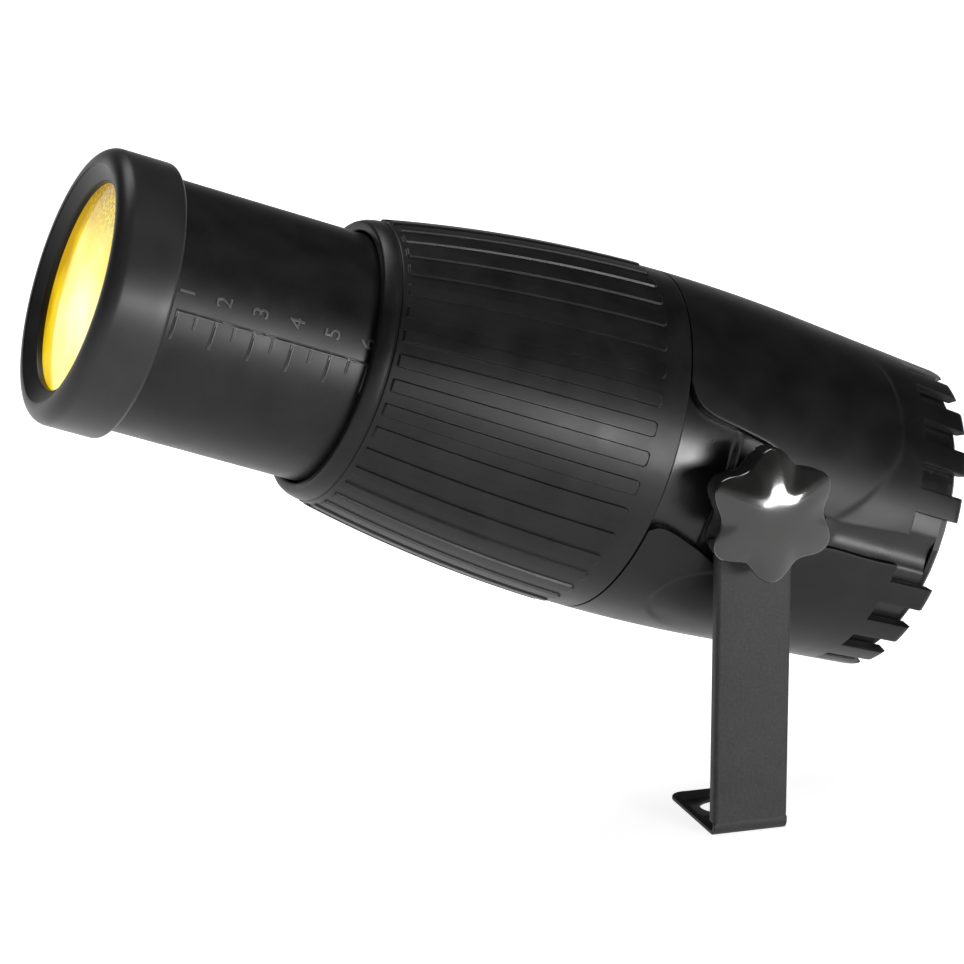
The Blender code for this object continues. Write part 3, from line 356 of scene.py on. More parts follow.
def emitter_yellow():
    """Phosphor over the chips: a yellow gel with a fine grain."""
    material, tree, shader, coordinates = new_finish("emitter_yellow")
    grain = add_noise(tree, coordinates, 0.4, 3.0)
    tree.links.new(blend_tones(tree, grain, (0.80, 0.55, 0.03), (0.95, 0.72, 0.08)), shader.inputs["Base Color"])
    tree.links.new(map_range(tree, grain, 0.25, 0.4), shader.inputs["Roughness"])
    return material


def clear_glass():
    """Optical glass with a faint coating: transmissive, and a slow drift of tint and of polish."""
    material, tree, shader, coordinates = new_finish("clear_glass")
    drift = add_noise(tree, coordinates, 14.0, 2.0)
    tree.links.new(blend_tones(tree, drift, (0.88, 0.92, 0.90), (0.96, 0.97, 0.98)), shader.inputs["Base Color"])
    tree.links.new(map_range(tree, drift, 0.01, 0.04), shader.inputs["Roughness"])
    shader.inputs["Transmission Weight"].default_value = 1.0
    shader.inputs["IOR"].default_value = 1.5
    return material


circuit_board = board_green()
phosphor = emitter_yellow()
optical_glass = clear_glass()
print("inside:", circuit_board.name, phosphor.name, optical_glass.name)

# %% [markdown]
# The front lens is lit from behind by a yellow beam. The light isn't even: it is deep yellow round the edge,
# almost white a little off the centre, and it breaks into a fine mottle near the top where the pattern holder
# cuts it off. The glow is emission inside the glass, laid out by distance from the optical axis in the lens's
# own place, under a clear polished surface.

# %% Lit lens
LENS_STATION = 168.0
LENS_TOP = 26.0


def lit_lens():
    """Emission from a yellow rim to a pale core: distance from a point off the axis, with mottle at the top."""
    material, tree, shader, coordinates = new_finish("lit_lens")
    mapping = tree.nodes.new("ShaderNodeMapping")
    hot = place(9.0, -4.0, LENS_STATION)
    mapping.inputs["Location"].default_value = tuple(-1 * hot)
    tree.links.new(coordinates, mapping.inputs["Vector"])
    distance = tree.nodes.new("ShaderNodeVectorMath")
    distance.operation = "LENGTH"
    tree.links.new(mapping.outputs["Vector"], distance.inputs[0])
    wander = add_noise(tree, coordinates, 12.0, 2.0)
    drift = map_range(tree, wander, -0.004, 0.004)
    total = tree.nodes.new("ShaderNodeMath")
    total.operation = "ADD"
    tree.links.new(distance.outputs["Value"], total.inputs[0])
    tree.links.new(drift, total.inputs[1])
    ramp = tree.nodes.new("ShaderNodeValToRGB")
    ramp.color_ramp.elements[0].position = 0.0
    ramp.color_ramp.elements[0].color = (1.0, 0.96, 0.66, 1.0)
    ramp.color_ramp.elements[1].position = 1.0
    ramp.color_ramp.elements[1].color = (0.62, 0.36, 0.0, 1.0)
    middle = ramp.color_ramp.elements.new(0.46)
    middle.color = (1.0, 0.85, 0.16, 1.0)
    outer = ramp.color_ramp.elements.new(0.78)
    outer.color = (0.98, 0.70, 0.01, 1.0)
    tree.links.new(map_range(tree, total.outputs[0], 0.0, 1.0, 0.0, 0.032), ramp.inputs["Fac"])
    speck = add_noise(tree, coordinates, 0.9, 2.0, 0.7)
    separate = tree.nodes.new("ShaderNodeSeparateXYZ")
    tree.links.new(coordinates, separate.inputs[0])
    top = place(0.0, LENS_TOP, LENS_STATION)[2]
    height = map_range(tree, separate.outputs["Z"], 0.0, 1.0, top - 0.014, top - 0.001)
    mottle = tree.nodes.new("ShaderNodeMath")
    mottle.operation = "MULTIPLY"
    tree.links.new(map_range(tree, speck, 0.0, 1.0, 0.36, 0.58), mottle.inputs[0])
    tree.links.new(height, mottle.inputs[1])
    mix = tree.nodes.new("ShaderNodeMix")
    mix.data_type = "RGBA"
    mix.inputs["B"].default_value = (0.22, 0.16, 0.01, 1.0)
    tree.links.new(mottle.outputs[0], mix.inputs["Factor"])
    tree.links.new(ramp.outputs["Color"], mix.inputs["A"])
    tree.links.new(mix.outputs["Result"], shader.inputs["Emission Color"])
    shader.inputs["Base Color"].default_value = (0.05, 0.04, 0.01, 1.0)
    shader.inputs["Emission Strength"].default_value = 0.97
    tree.links.new(map_range(tree, wander, 0.05, 0.12), shader.inputs["Roughness"])
    return material


yellow_lens = lit_lens()
print("finishes:", len(bpy.data.materials))

# %% [markdown]
# ## Barrel outline
#
# The sleeve and the shells share one swelling outline: an arc in front of the widest station, a flatter arc
# behind it, and then the arc's tangent to the rear. The same few numbers give every piece's radius, so the
# joints between pieces stay flush.

# %% Outline
WIDEST_STATION = 18.0
SLEEVE_FRONT = 104.0
SLEEVE_REAR = 23.9
TAPER_START = -15.0
REAR_ARC = 444.0
REAR_END = -59.4
NOSE_WALL = 3.32
SKIN = 2.2
GAP = 0.3
front_arc = (SLEEVE_FRONT - WIDEST_STATION) ** 2 / (2 * (widest_radius - tube_radius - NOSE_WALL))


def barrel_radius(station):
    """The widest radius less a parabola each way, and a straight taper behind TAPER_START."""
    station = np.asarray(station, float)
    front = (station - WIDEST_STATION) ** 2 / (2 * front_arc)
    bend = np.maximum(station, TAPER_START)
    slope = (WIDEST_STATION - TAPER_START) / REAR_ARC
    rear = (WIDEST_STATION - bend) ** 2 / (2 * REAR_ARC) + slope * np.maximum(TAPER_START - station, 0)
    return widest_radius - np.where(station >= WIDEST_STATION, front, rear)


print("radius at the sleeve's front", round(float(barrel_radius(SLEEVE_FRONT)), 2))
print("radius at the rear", round(float(barrel_radius(REAR_END)), 2))

# %% [markdown]
# ## Lens bezel
#
# The bezel is a turned cap over the front of the tube. Its face isn't flat: it falls towards the glass,
# and the outer corner is a generous rounding that catches a soft vertical highlight. A closed profile spun
# round the axis gives all of that, with extra points only where the outline bends.

# %% Bezel
BEZEL_REAR = 155.6
TUBE_FRONT = 163.0
BEZEL_FRONT = 172.6
CORNER = 4.0
GLASS_RADIUS = 26.4
FACE_DROP = 2.2
lip = 167.5
bezel_profile = np.vstack([
    [[GLASS_RADIUS, lip]],
    [[GLASS_RADIUS, BEZEL_FRONT - FACE_DROP - 0.9]],
    round_corner((GLASS_RADIUS + 0.7, BEZEL_FRONT - FACE_DROP - 0.7), 0.7, 180, 100, 5),
    [[bezel_radius - CORNER - 0.6, BEZEL_FRONT - 0.2]],
    round_corner((bezel_radius - CORNER, BEZEL_FRONT - CORNER), CORNER, 100, 0, 16),
    [[bezel_radius, BEZEL_REAR + 4.0]],
    round_corner((bezel_radius - 1.3, BEZEL_REAR + 1.3), 1.3, 0, -90, 6),
    [[tube_radius + GAP, BEZEL_REAR]],
    [[tube_radius + GAP, TUBE_FRONT + GAP]],
    [[tube_radius - 1.8, TUBE_FRONT + GAP]],
    [[tube_radius - 1.8, lip]],
])
dress(spun("bezel_ring", bezel_profile, 224), "tube", "satin_black", "lens_bezel", material=bezel_satin)

# %% [markdown]
# The front lens is a disc with a spherical cap on each side and a thin rim that the bezel clamps. Its profile
# starts and ends on the axis, so the spin closes at a pole on each side, and the weld makes each pole a point.

# %% Front lens
glass_rear = TUBE_FRONT + 1.6
rim_front = glass_rear + 2.6
glass_front = glass_rear + 4.2
rim_radius = tube_radius - 2.1
clear = 26.3


def dome(bulge, count=14):
    """Radii from the axis out and the height of a spherical cap over them."""
    sphere = (clear ** 2 + bulge ** 2) / (2 * bulge)
    radius = np.linspace(0, clear, count)
    return radius, np.sqrt(sphere ** 2 - radius ** 2) - (sphere - bulge)


front_r, front_h = dome(1.0)
rear_r, rear_h = dome(4.0)
lens_profile = np.vstack([
    np.column_stack([front_r, glass_front + front_h]),
    [[clear, rim_front], [rim_radius, rim_front], [rim_radius, glass_rear]],
    np.column_stack([rear_r, glass_rear - rear_h])[::-1],
])
lens = spun("lens_glass", lens_profile, 128, wrap_rows=False)
dress(lens, "tube", "glass", "front_lens", material=yellow_lens)

# %% [markdown]
# ## Focus tube and its scale
#
# The tube is a plain grained cylinder. On the arm's side it carries a moulded scale: a line along the tube
# with a long mark every ten millimetres and a short one between, and a number over each long mark. The marks
# stand a quarter of a millimetre proud. Each one is drawn flat, as a small plate with round ends, and then
# wrapped on to the cylinder: the height across becomes an angle, so the plate bends with the wall.

# %% Tube
tube_profile = np.vstack([
    round_corner((tube_radius - 0.5, TUBE_FRONT - 0.5), 0.5, 90, 0, 3),
    [[tube_radius, station] for station in np.linspace(160, 68, 20)],
    round_corner((tube_radius - 0.5, 66.5), 0.5, 0, -90, 3),
    [[tube_radius - 2.5, 66.0], [tube_radius - 2.5, 120.0], [tube_radius - 2.5, TUBE_FRONT]],
])
dress(spun("tube_wall", tube_profile, 224), "tube", "satin_black", "focus_tube", material=grained_black)

# %% Scale plates
SCALE_ANGLE = 9.17
FIRST_MARK = 153.56
MARK_PITCH = 10.0
LONG_MARK, SHORT_MARK = 6.8, 3.3
LINE = 0.9
PROUD = 0.25


def wrap(flat_station, flat_height, lift):
    """Flat scale drawing to the tube's wall: height is an arc length up from the scale's base line."""
    angle = math.radians(SCALE_ANGLE) + flat_height / tube_radius
    radius = tube_radius + lift
    return place(radius * np.cos(angle), radius * np.sin(angle), flat_station)


def mark_plate(start, end, width, name):
    """A raised stroke between two flat points: rows run round its rounded outline, from wall to bevelled top."""
    start, end = np.array(start, float), np.array(end, float)
    run = (end - start) / np.linalg.norm(end - start)
    normal = np.array([-run[1], run[0]])
    half = np.linspace(-np.pi / 2, np.pi / 2, 7)
    steps = np.linspace(0, 1, max(2, int(np.linalg.norm(end - start) / 1.2)))[:, None]
    far = np.column_stack([np.cos(half), np.sin(half)])
    outline = np.vstack([
        [end + width / 2 * (c * run + s * normal) for c, s in far],
        (end + width / 2 * normal) * (1 - steps[1:-1]) + (start + width / 2 * normal) * steps[1:-1],
        [start + width / 2 * (-c * run - s * normal) for c, s in far],
        (start - width / 2 * normal) * (1 - steps[1:-1]) + (end - width / 2 * normal) * steps[1:-1],
    ])
    middle = start + np.clip((outline - start) @ run, 0, np.linalg.norm(end - start))[:, None] * run
    rows = []
    for share, lift in ((1.0, -0.3), (1.0, PROUD * 0.55), (0.86, PROUD * 0.9), (0.55, PROUD), (0.0, PROUD)):
        ring = middle + share * (outline - middle)
        rows.append(wrap(ring[:, 0], ring[:, 1], lift))
    rows.append(wrap(middle[:, 0], middle[:, 1], -0.3))
    return surface(name, np.stack(rows), wrap_rows=True, wrap_columns=True, sharp=60)


marks = [mark_plate((FIRST_MARK, 0), (FIRST_MARK - 5 * MARK_PITCH, 0), LINE, "scale_line")]
for step in range(11):
    station = FIRST_MARK - step * MARK_PITCH / 2
    reach = LONG_MARK if step % 2 == 0 else SHORT_MARK
    marks.append(mark_plate((station, 0), (station, -reach), LINE, f"scale_mark_{step + 1}"))
# The marks take the lighter tone that is a painted highlight.
for mark in marks:
    dress(mark, "tube", "satin_black", material=scale_painted_highlight)

# %% [markdown]
# The numbers are text set on a flat plane first. A text curve is made a mesh, then its own x runs up across
# the tube and its own y runs towards the lens, so the numbers lie on their sides, as they do on a zoom barrel
# that is read from the end.

# %% Scale numbers
DIGIT_HEIGHT = 4.1
DIGIT_RISE = 4.9
DIGIT_PITCH = 9.48
DIGIT_START = FIRST_MARK - 1.2


def scale_number(text, station):
    """A raised number: text made a mesh, centred, then wrapped with x as height and y as station."""
    curve = bpy.data.curves.new("number_" + text, "FONT")
    curve.body = text
    curve.size = DIGIT_HEIGHT * 1.38
    curve.extrude = 0.5
    curve.bevel_depth = 0.07
    curve.offset = -0.02
    curve.resolution_u = 6
    holder = bpy.data.objects.new("number_" + text, curve)
    bpy.context.scene.collection.objects.link(holder)
    bpy.context.view_layer.update()
    mesh = bpy.data.meshes.new_from_object(holder.evaluated_get(bpy.context.evaluated_depsgraph_get()))
    bpy.data.objects.remove(holder)
    flat = np.zeros(len(mesh.vertices) * 3, np.float32)
    mesh.vertices.foreach_get("co", flat)
    flat = flat.reshape(-1, 3).astype(float)
    flat[:, :2] -= (flat[:, :2].min(0) + flat[:, :2].max(0)) / 2
    lift = np.where(flat[:, 2] > 0, PROUD - (flat[:, 2].max() - flat[:, 2]), -0.3)
    wrapped = wrap(station + flat[:, 1], DIGIT_RISE + flat[:, 0], lift)
    mesh.vertices.foreach_set("co", wrapped.astype(np.float32).ravel())
    bm = bmesh.new()
    bm.from_mesh(mesh)
    bmesh.ops.remove_doubles(bm, verts=bm.verts, dist=1e-6)
    bmesh.ops.recalc_face_normals(bm, faces=bm.faces)
    bm.to_mesh(mesh)
    bm.free()
    mesh.shade_flat()
    obj = bpy.data.objects.new("scale_number_" + text, mesh)
    bpy.context.scene.collection.objects.link(obj)
    return obj


# The numbers take the same lighter tone, a painted highlight.
for index in range(6):
    number = scale_number(str(index + 1), DIGIT_START - DIGIT_PITCH * index)
    dress(number, "tube", "satin_black", material=scale_painted_highlight)

# %% [markdown]
# ## Grip sleeve
#
# The sleeve is a swollen tube with 37 shallow bars along it, half a millimetre proud, with crisp shoulders and
# small round corners at the rear. Modelling each bar as an object would leave seams, so the whole outer wall is
# one height field over angle and station. The bar is a rounded rectangle given by its signed distance, and the
# lattice has narrow columns and rows just where the shoulders are.

# %% Sleeve
BARS = 37
BAR_REAR, BAR_FRONT = 31.0, 98.0
BAR_HEIGHT = 0.5
BAR_HALF = 2.45
BAR_PHASE = 4.13
SHOULDER = 0.13
pitch = 360 / BARS


def bar_height(angle, station):
    """Height of the bars: signed distance to a rounded rectangle on the wall, eased over the shoulder."""
    offset = (angle - BAR_PHASE + pitch / 2) % pitch - pitch / 2
    radius = barrel_radius(station)
    corner = np.where(station < 60, 1.1, 0.3)
    width = np.radians(np.abs(offset)) * radius - np.radians(BAR_HALF) * radius + corner
    length = np.abs(station - (BAR_REAR + BAR_FRONT) / 2) - (BAR_FRONT - BAR_REAR) / 2 + corner
    outside = np.hypot(np.maximum(width, 0), np.maximum(length, 0))
    distance = outside + np.minimum(np.maximum(width, length), 0) - corner
    return BAR_HEIGHT * (1 - ease(-SHOULDER, SHOULDER, distance))


half_bar = np.array([0, 1.3, 1.95, 2.18, 2.30, 2.40, 2.50, 2.60, 2.72, 2.95, 3.6])
offsets = np.concatenate([-half_bar[:0:-1], half_bar, [pitch / 2]])
angles = (BAR_PHASE + pitch * np.arange(BARS)[:, None] + offsets).ravel()
stations = np.concatenate([
    np.linspace(24.6, 30.2, 7), np.arange(30.7, 32.6, 0.13), np.linspace(33.2, 96.8, 30),
    np.arange(97.4, 98.7, 0.13), [99.0, 99.25]])
grid_angle, grid_station = np.meshgrid(np.radians(angles), stations)
outer = barrel_radius(grid_station) + bar_height(np.degrees(grid_angle), grid_station)
nose = float(barrel_radius(SLEEVE_FRONT))
front_profile = np.vstack([
    [[float(barrel_radius(99.3)) - 0.05, 99.35], [float(barrel_radius(99.4)) - 0.35, 99.5],
     [float(barrel_radius(99.9)) - 0.35, 99.95], [float(barrel_radius(100.0)) + 0.05, 100.15],
     [float(barrel_radius(100.6)) + 0.12, 100.7], [float(barrel_radius(102.4)) + 0.1, 102.4]],
    round_corner((nose - 1.0, SLEEVE_FRONT - 1.1), 1.1, 20, 90, 5),
    [[tube_radius + 1.3, SLEEVE_FRONT], [tube_radius + 0.9, SLEEVE_FRONT - 0.1],
     [tube_radius + 0.4, SLEEVE_FRONT - 0.6], [tube_radius + 0.4, SLEEVE_FRONT - 4.0],
     [float(barrel_radius(100)) - 2.5, 99.6]]])
bore = np.array([[float(barrel_radius(s)) - 2.5, s] for s in np.linspace(96, SLEEVE_REAR, 8)])
rear_profile = round_corner((float(barrel_radius(SLEEVE_REAR)) - 0.5, SLEEVE_REAR + 0.5), 0.5, 270, 360, 4)
ring = np.vstack([front_profile, bore, rear_profile])
ring_radius = np.repeat(ring[:, :1], len(angles), axis=1)
ring_station = np.repeat(ring[:, 1:], len(angles), axis=1)
sleeve_radius = np.vstack([outer, ring_radius])
sleeve_station = np.vstack([grid_station, ring_station])
turn = np.radians(angles)
sleeve_points = place(sleeve_radius * np.cos(turn), sleeve_radius * np.sin(turn), sleeve_station)
sleeve = surface("sleeve_grip", sleeve_points, sharp=45)
dress(sleeve, "sleeve", "satin_black", "grip_sleeve", material=grained_black)

# %% [markdown]
# ## Housing shells
#
# Two matt half shells wrap the glossy core. Each has a flowing free edge across the arm's side, a shallow
# crease behind it, and a rear rim cut into teeth. The lattice runs from one free edge over the barrel to the
# other: its outer columns follow the edge curve, and the shift dies out within a few degrees, so that the
# columns further in stand exactly on the flanks of the teeth. The cells between teeth are simply left out, and
# a Solidify and a Bevel modifier give the open sheet its wall and its softened edges.

# %% Shell edges and creases
UPPER_EDGE = np.array([(23.7, 24.5), (21.0, 20.2), (16.0, 17.9), (6.5, 16.4), (-3.0, 14.2), (-11.0, 8.6),
                       (-17.0, 3.2), (-24.0, 1.1), (-40.0, 1.9), (-61.4, 3.0)])
LOWER_EDGE = np.array([(23.7, -14.2), (21.0, -12.7), (16.5, -13.2), (8.5, -15.8), (1.0, -18.6), (-6.0, -18.0),
                       (-13.0, -12.2), (-19.0, -7.6), (-26.0, -6.1), (-40.0, -6.2), (-61.4, -5.0)])


def smooth_line(points, steps=12):
    """A Catmull-Rom curve: each span is a cubic whose end slopes follow the neighbouring points."""
    known = np.vstack([2 * points[0] - points[1], points, 2 * points[-1] - points[-2]])
    before, start, end, after = known[:-3], known[1:-2], known[2:-1], known[3:]
    t = np.linspace(0, 1, steps, endpoint=False)[:, None, None]
    path = 0.5 * (2 * start + (end - before) * t + (2 * before - 5 * start + 4 * end - after) * t ** 2
                  + (3 * start - before - 3 * end + after) * t ** 3)
    return np.vstack([path.transpose(1, 0, 2).reshape(-1, 2), points[-1:]])


def edge_angle(points, station):
    """The free edge's angle round the barrel: its height over the radius, as an arcsine, in degrees."""
    line = smooth_line(points)[::-1]
    height = np.interp(station, line[:, 0], line[:, 1])
    return np.degrees(np.arcsin(height / barrel_radius(station)))


def crease_drop(angle, station, line, depth, fade):
    """A soft step behind a crease line: down by depth within a millimetre, and back over a fade length."""
    line = smooth_line(np.array(line, float))
    order = np.argsort(line[:, 0])
    start = np.interp(angle, line[order, 0], line[order, 1])
    behind = start - station
    ends = ease(line[:, 0].min() - 3, line[:, 0].min() + 3, angle) * (
        1 - ease(line[:, 0].max() - 12, line[:, 0].max() + 2, angle))
    return depth * ease(-0.5, 0.6, behind) * (1 - ease(1.0, fade, behind)) * ends


UPPER_CREASE = [(72, -33.0), (65.4, -36.2), (53.9, -38.1), (40.1, -39.1), (29.0, -38.5), (15.8, -33.0),
                (7.8, -28.3), (2.1, -23.7)]
LOWER_CREASE = [(26.5, 1.0), (32.3, 8.4), (40.9, 11.7), (51.1, 10.8), (61.2, 3.1), (65.9, -4.9)]

# %% Shell surfaces
NOTCH_PHASE = 7.8
NOTCH_HALF = 4.5
NOTCH_FRONT = -46.0
RIM = 1.6
shell_stations = np.concatenate([[23.6, 23.45, 23.0], np.arange(22.2, -45.6, -0.8), [-45.7, NOTCH_FRONT, -46.3],
                                 np.arange(-47.0, -57.6, -0.8), [-57.9, -58.3, -58.7, -59.0, -59.25]])


def half_shell(name, points, crease, upper):
    """Angle and station lattice of one shell, with its wall radius, its notches left out and its wall added."""
    base = NOTCH_PHASE - NOTCH_HALF + (np.arange(174) if upper else np.arange(184, 350))
    station = shell_stations[:, None]
    near = edge_angle(points, station)
    start, end = (near, 180 - near) if upper else (180 - near, 360 + near)
    angle = np.repeat(base[None, :], len(shell_stations), axis=0)
    for target, border, sign in ((start, base[0], 1), (end, base[-1], -1)):
        shift = target - border
        reach = np.maximum(9.0, 2.4 * np.abs(shift))
        angle = angle + shift * (1 - ease(0, 1, sign * (angle - border) / reach))
    folded = np.abs((angle + 90) % 360 - 180)
    folded = np.abs(90 - folded)
    wall = barrel_radius(station) - crease_drop(folded, station, crease, 0.32, 16.0)
    inside_rim = np.clip(REAR_END + RIM - station, 0, RIM - 0.05)
    wall = wall - (RIM - np.sqrt(RIM ** 2 - inside_rim ** 2)) * 0.8
    turn = np.radians(angle)
    lattice = place(wall * np.cos(turn), wall * np.sin(turn), station)
    middle = (base[:-1] + base[1:]) / 2
    in_notch = np.abs((middle - NOTCH_PHASE + 9) % 18 - 9) < NOTCH_HALF
    behind = (shell_stations[:-1] + shell_stations[1:]) / 2 < NOTCH_FRONT
    keep = ~(behind[:, None] & in_notch[None, :])
    obj = surface(name, lattice, wrap_rows=False, wrap_columns=False, sharp=60, keep=keep)
    loose = bmesh.new()
    loose.from_mesh(obj.data)
    bmesh.ops.delete(loose, geom=[v for v in loose.verts if not v.link_faces], context="VERTS")
    loose.to_mesh(obj.data)
    loose.free()
    solidify = obj.modifiers.new("wall", "SOLIDIFY")
    solidify.thickness = SKIN / 1000
    solidify.offset = -1.0
    bevel = obj.modifiers.new("edges", "BEVEL")
    bevel.width = 0.0003
    bevel.segments = 2
    bevel.limit_method = "ANGLE"
    bevel.angle_limit = math.radians(50)
    return obj


upper = half_shell("shell_top", UPPER_EDGE, UPPER_CREASE, True)
dress(upper, "head", "satin_black", "upper_shell", material=shell_black)
lower = half_shell("shell_bottom", LOWER_EDGE, LOWER_CREASE, False)
dress(lower, "head", "satin_black", "lower_shell", material=shell_black)

# %% [markdown]
# ## Glossy core
#
# Between the shells the core shows: a smooth face behind the sleeve, a rounded ridge across it, the deep
# recess in which the arm and its knob sit, and a shallow trough to the rear. It is one height field again. The
# recess floor is a plane square to the tilt axis, so its radius is the floor's distance over the cosine of the
# angle.

# %% Core
RECESS_FLOOR = 38.6
RECESS = {"front": 7.0, "rear": -22.0, "top": 16.0, "bottom": -19.0}
CORE_REAR = -55.4
TROUGH_DEPTH = 1.7
SHOULDER_STATION = 23.6
core_stations = np.concatenate([
    np.linspace(SHOULDER_STATION, 10, 14), np.arange(9.6, 4.4, -0.2), np.linspace(4.0, -19.5, 18),
    np.arange(-20.2, -24.0, -0.25), np.linspace(-25, CORE_REAR, 24)])
core_angles = np.radians(np.arange(0, 360, 1.0))
core_turn, core_station = np.meshgrid(core_angles, core_stations)
skin_radius = barrel_radius(core_station) - SKIN - GAP
height = skin_radius * np.sin(core_turn)
floor_radius = RECESS_FLOOR / np.maximum(np.abs(np.cos(core_turn)), 0.5)
inside_recess = (ease(-RECESS["front"] - 2.4, -RECESS["front"] + 2.2, -core_station)
                 * ease(RECESS["rear"] - 0.6, RECESS["rear"] + 0.9, core_station)
                 * ease(-RECESS["top"] - 0.5, -RECESS["top"] + 0.8, -height)
                 * ease(RECESS["bottom"] - 0.5, RECESS["bottom"] + 0.8, height))
core_radius = skin_radius - inside_recess * np.maximum(skin_radius - floor_radius, 0)
trough = np.clip(1 - ((height + 2.0) / 4.8) ** 2, 0, 1) * ease(22.5, 27.0, -core_station)
core_radius = core_radius - TROUGH_DEPTH * trough
inner_rows = slice(None, None, -3)
inner_radius = core_radius[inner_rows] - 2.4
inner_station = core_station[inner_rows]
spigot = np.array([[37.1, 21.2], [37.1, 34.0], [39.5, 34.0], [39.5, SHOULDER_STATION]])
spigot_radius = np.repeat(spigot[:, :1], len(core_angles), axis=1)
spigot_station = np.repeat(spigot[:, 1:], len(core_angles), axis=1)
inner_station = np.minimum(inner_station, 21.0)
all_radius = np.vstack([core_radius, inner_radius, spigot_radius])
all_station = np.vstack([core_station, inner_station, spigot_station])
core_points = place(all_radius * np.cos(core_angles), all_radius * np.sin(core_angles), all_station)
core = surface("core_gloss_body", core_points, sharp=50)
dress(core, "head", "gloss_black", "core_housing", material=core_gloss)

# %% [markdown]
# ## Bracket
#
# One strip of steel sheet makes the arm and the foot. Its long edges are folded in along the arm, which gives
# it the depth that shows as a lighter strip, and its top is a half circle round the clamp. The section is a
# closed loop of points, a channel whose flanges can be any depth, carried down the arm, round the bend and
# along the foot. The foot's bolt hole is cut with a Boolean.

# %% Bracket section and path
foot_low, foot_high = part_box("bracket")
SHEET = 1.2
FLANGE = 3.5
BEND = 2.4
HALF = (foot_high.y - foot_low.y) * 500
arm_x = foot_high.x * 1000
foot_end_x = foot_low.x * 1000
pivot_mm = pivot * 1000
EDGE = 0.35


def channel_section(half, flange):
    """Closed loops of (across, depth): a sheet with both edges folded in by the flange depth."""
    half, flange = np.broadcast_arrays(np.asarray(half, float), np.asarray(flange, float))
    fold = np.clip((flange - SHEET) / 1.5, 0, 1)
    outer = EDGE + 0.75 * fold
    inner = 0.05 + 0.3 * fold
    points = []
    for sign in (-1, 1):
        turn = np.radians(np.linspace(0, 90, 6)) if sign < 0 else np.radians(np.linspace(90, 0, 6))
        for t in turn:
            points.append((sign * (half - outer + outer * np.cos(t)), outer - outer * np.sin(t)))
    points.append((half, flange - EDGE))
    for t in np.radians([30, 60, 90]):
        points.append((half - EDGE + EDGE * np.cos(t), flange - EDGE + EDGE * np.sin(t)))
    points.append((half - SHEET + EDGE, flange))
    points.append((half - SHEET, np.maximum(flange - EDGE, SHEET)))
    points.append((half - SHEET, SHEET + inner))
    points.append((half - SHEET - inner, SHEET + 0 * inner))
    mirrored = [(-a, d) for a, d in points[:11:-1]]
    loop = points + mirrored
    across_, depth = (np.stack([p[k] + 0 * half for p in loop], -1) for k in (0, 1))
    return across_, depth


foot_bottom = foot_low.z * 1000
top_heights = pivot_mm[2] + HALF * np.cos(np.radians(np.linspace(4, 90, 16)))
heights = np.concatenate([top_heights, np.linspace(pivot_mm[2] - 4, pivot_mm[2] - 11, 5),
                          pivot_mm[2] - np.array([11.8, 12.0, 12.4, 13.2]),
                          np.linspace(pivot_mm[2] - 16, foot_bottom + BEND + 3, 14),
                          foot_bottom + BEND + np.array([1.6, 1.2, 0.9, 0.0])])
turns = np.radians(np.linspace(0, 90, 9))[1:]
feet = np.concatenate([np.linspace(arm_x - BEND - 2, foot_end_x + 4, 12),
                       foot_end_x + 3.0 * (1 - np.sin(np.radians(np.linspace(0, 84, 9))))])
path_x = np.concatenate([np.full(len(heights), arm_x), arm_x - BEND + BEND * np.cos(turns), feet])
path_z = np.concatenate([heights, foot_bottom + BEND - BEND * np.sin(turns), np.full(len(feet), foot_bottom)])
inward_x = np.concatenate([-np.ones(len(heights)), -np.cos(turns), np.zeros(len(feet))])
inward_z = np.concatenate([np.zeros(len(heights)), np.sin(turns), np.ones(len(feet))])
rise = np.clip(path_z - pivot_mm[2], 0, None)
half_width = np.sqrt(np.maximum(HALF ** 2 - rise ** 2, 0.3))
toe = np.clip(3.0 - (path_x - foot_end_x), 0, None)
half_width = half_width - (3.0 - np.sqrt(np.maximum(9.0 - toe ** 2, 0.0)))
flange_depth = np.where((path_z < pivot_mm[2] - 11.9) & (path_z > foot_bottom + BEND + 1.1), FLANGE, SHEET)
section_y, section_d = channel_section(half_width, flange_depth)
bracket_points = MM * np.stack([path_x[:, None] + inward_x[:, None] * section_d, section_y,
                                path_z[:, None] + inward_z[:, None] * section_d], -1)
print("bracket rows", bracket_points.shape)


def close_ends(points):
    """Adds a collapsed row at each end, so that the first and last loops are closed by fans."""
    return np.concatenate([points[:1].mean(1, keepdims=True).repeat(points.shape[1], 1), points,
                           points[-1:].mean(1, keepdims=True).repeat(points.shape[1], 1)])


bracket_sheet = surface("bracket_sheet", close_ends(bracket_points), wrap_rows=False, sharp=40)

# %% Foot hole
HOLE_RADIUS = 6.2
HOLE_INSET = 19.1
hole_turn = np.linspace(0, 2 * np.pi, 72, endpoint=False)
hole_rings = [(0.0, foot_bottom - 2), (HOLE_RADIUS, foot_bottom - 2), (HOLE_RADIUS, foot_bottom + 4),
              (0.0, foot_bottom + 4)]
hole_points = MM * np.stack([
    np.stack([arm_x - HOLE_INSET + r * np.cos(hole_turn), r * np.sin(hole_turn), np.full(72, z)], -1)
    for r, z in hole_rings])
cells = lattice_faces(4, 72, False, True).reshape(-1, 4)
flat_hole = hole_points.reshape(-1, 3)
hole_cutter = make_object("hole_cutter", flat_hole, outward(flat_hole, cells, flat_hole.mean(0)))
cut = bracket_sheet.modifiers.new("hole", "BOOLEAN")
cut.object = hole_cutter
cut.solver = "EXACT"
bpy.context.view_layer.update()
cut_mesh = bpy.data.meshes.new_from_object(bracket_sheet.evaluated_get(bpy.context.evaluated_depsgraph_get()))
bracket_sheet.modifiers.clear()
bracket_sheet.data = cut_mesh
bpy.data.objects.remove(hole_cutter)
dress(bracket_sheet, "bracket", "black_paint", "bracket", material=powder_coat)

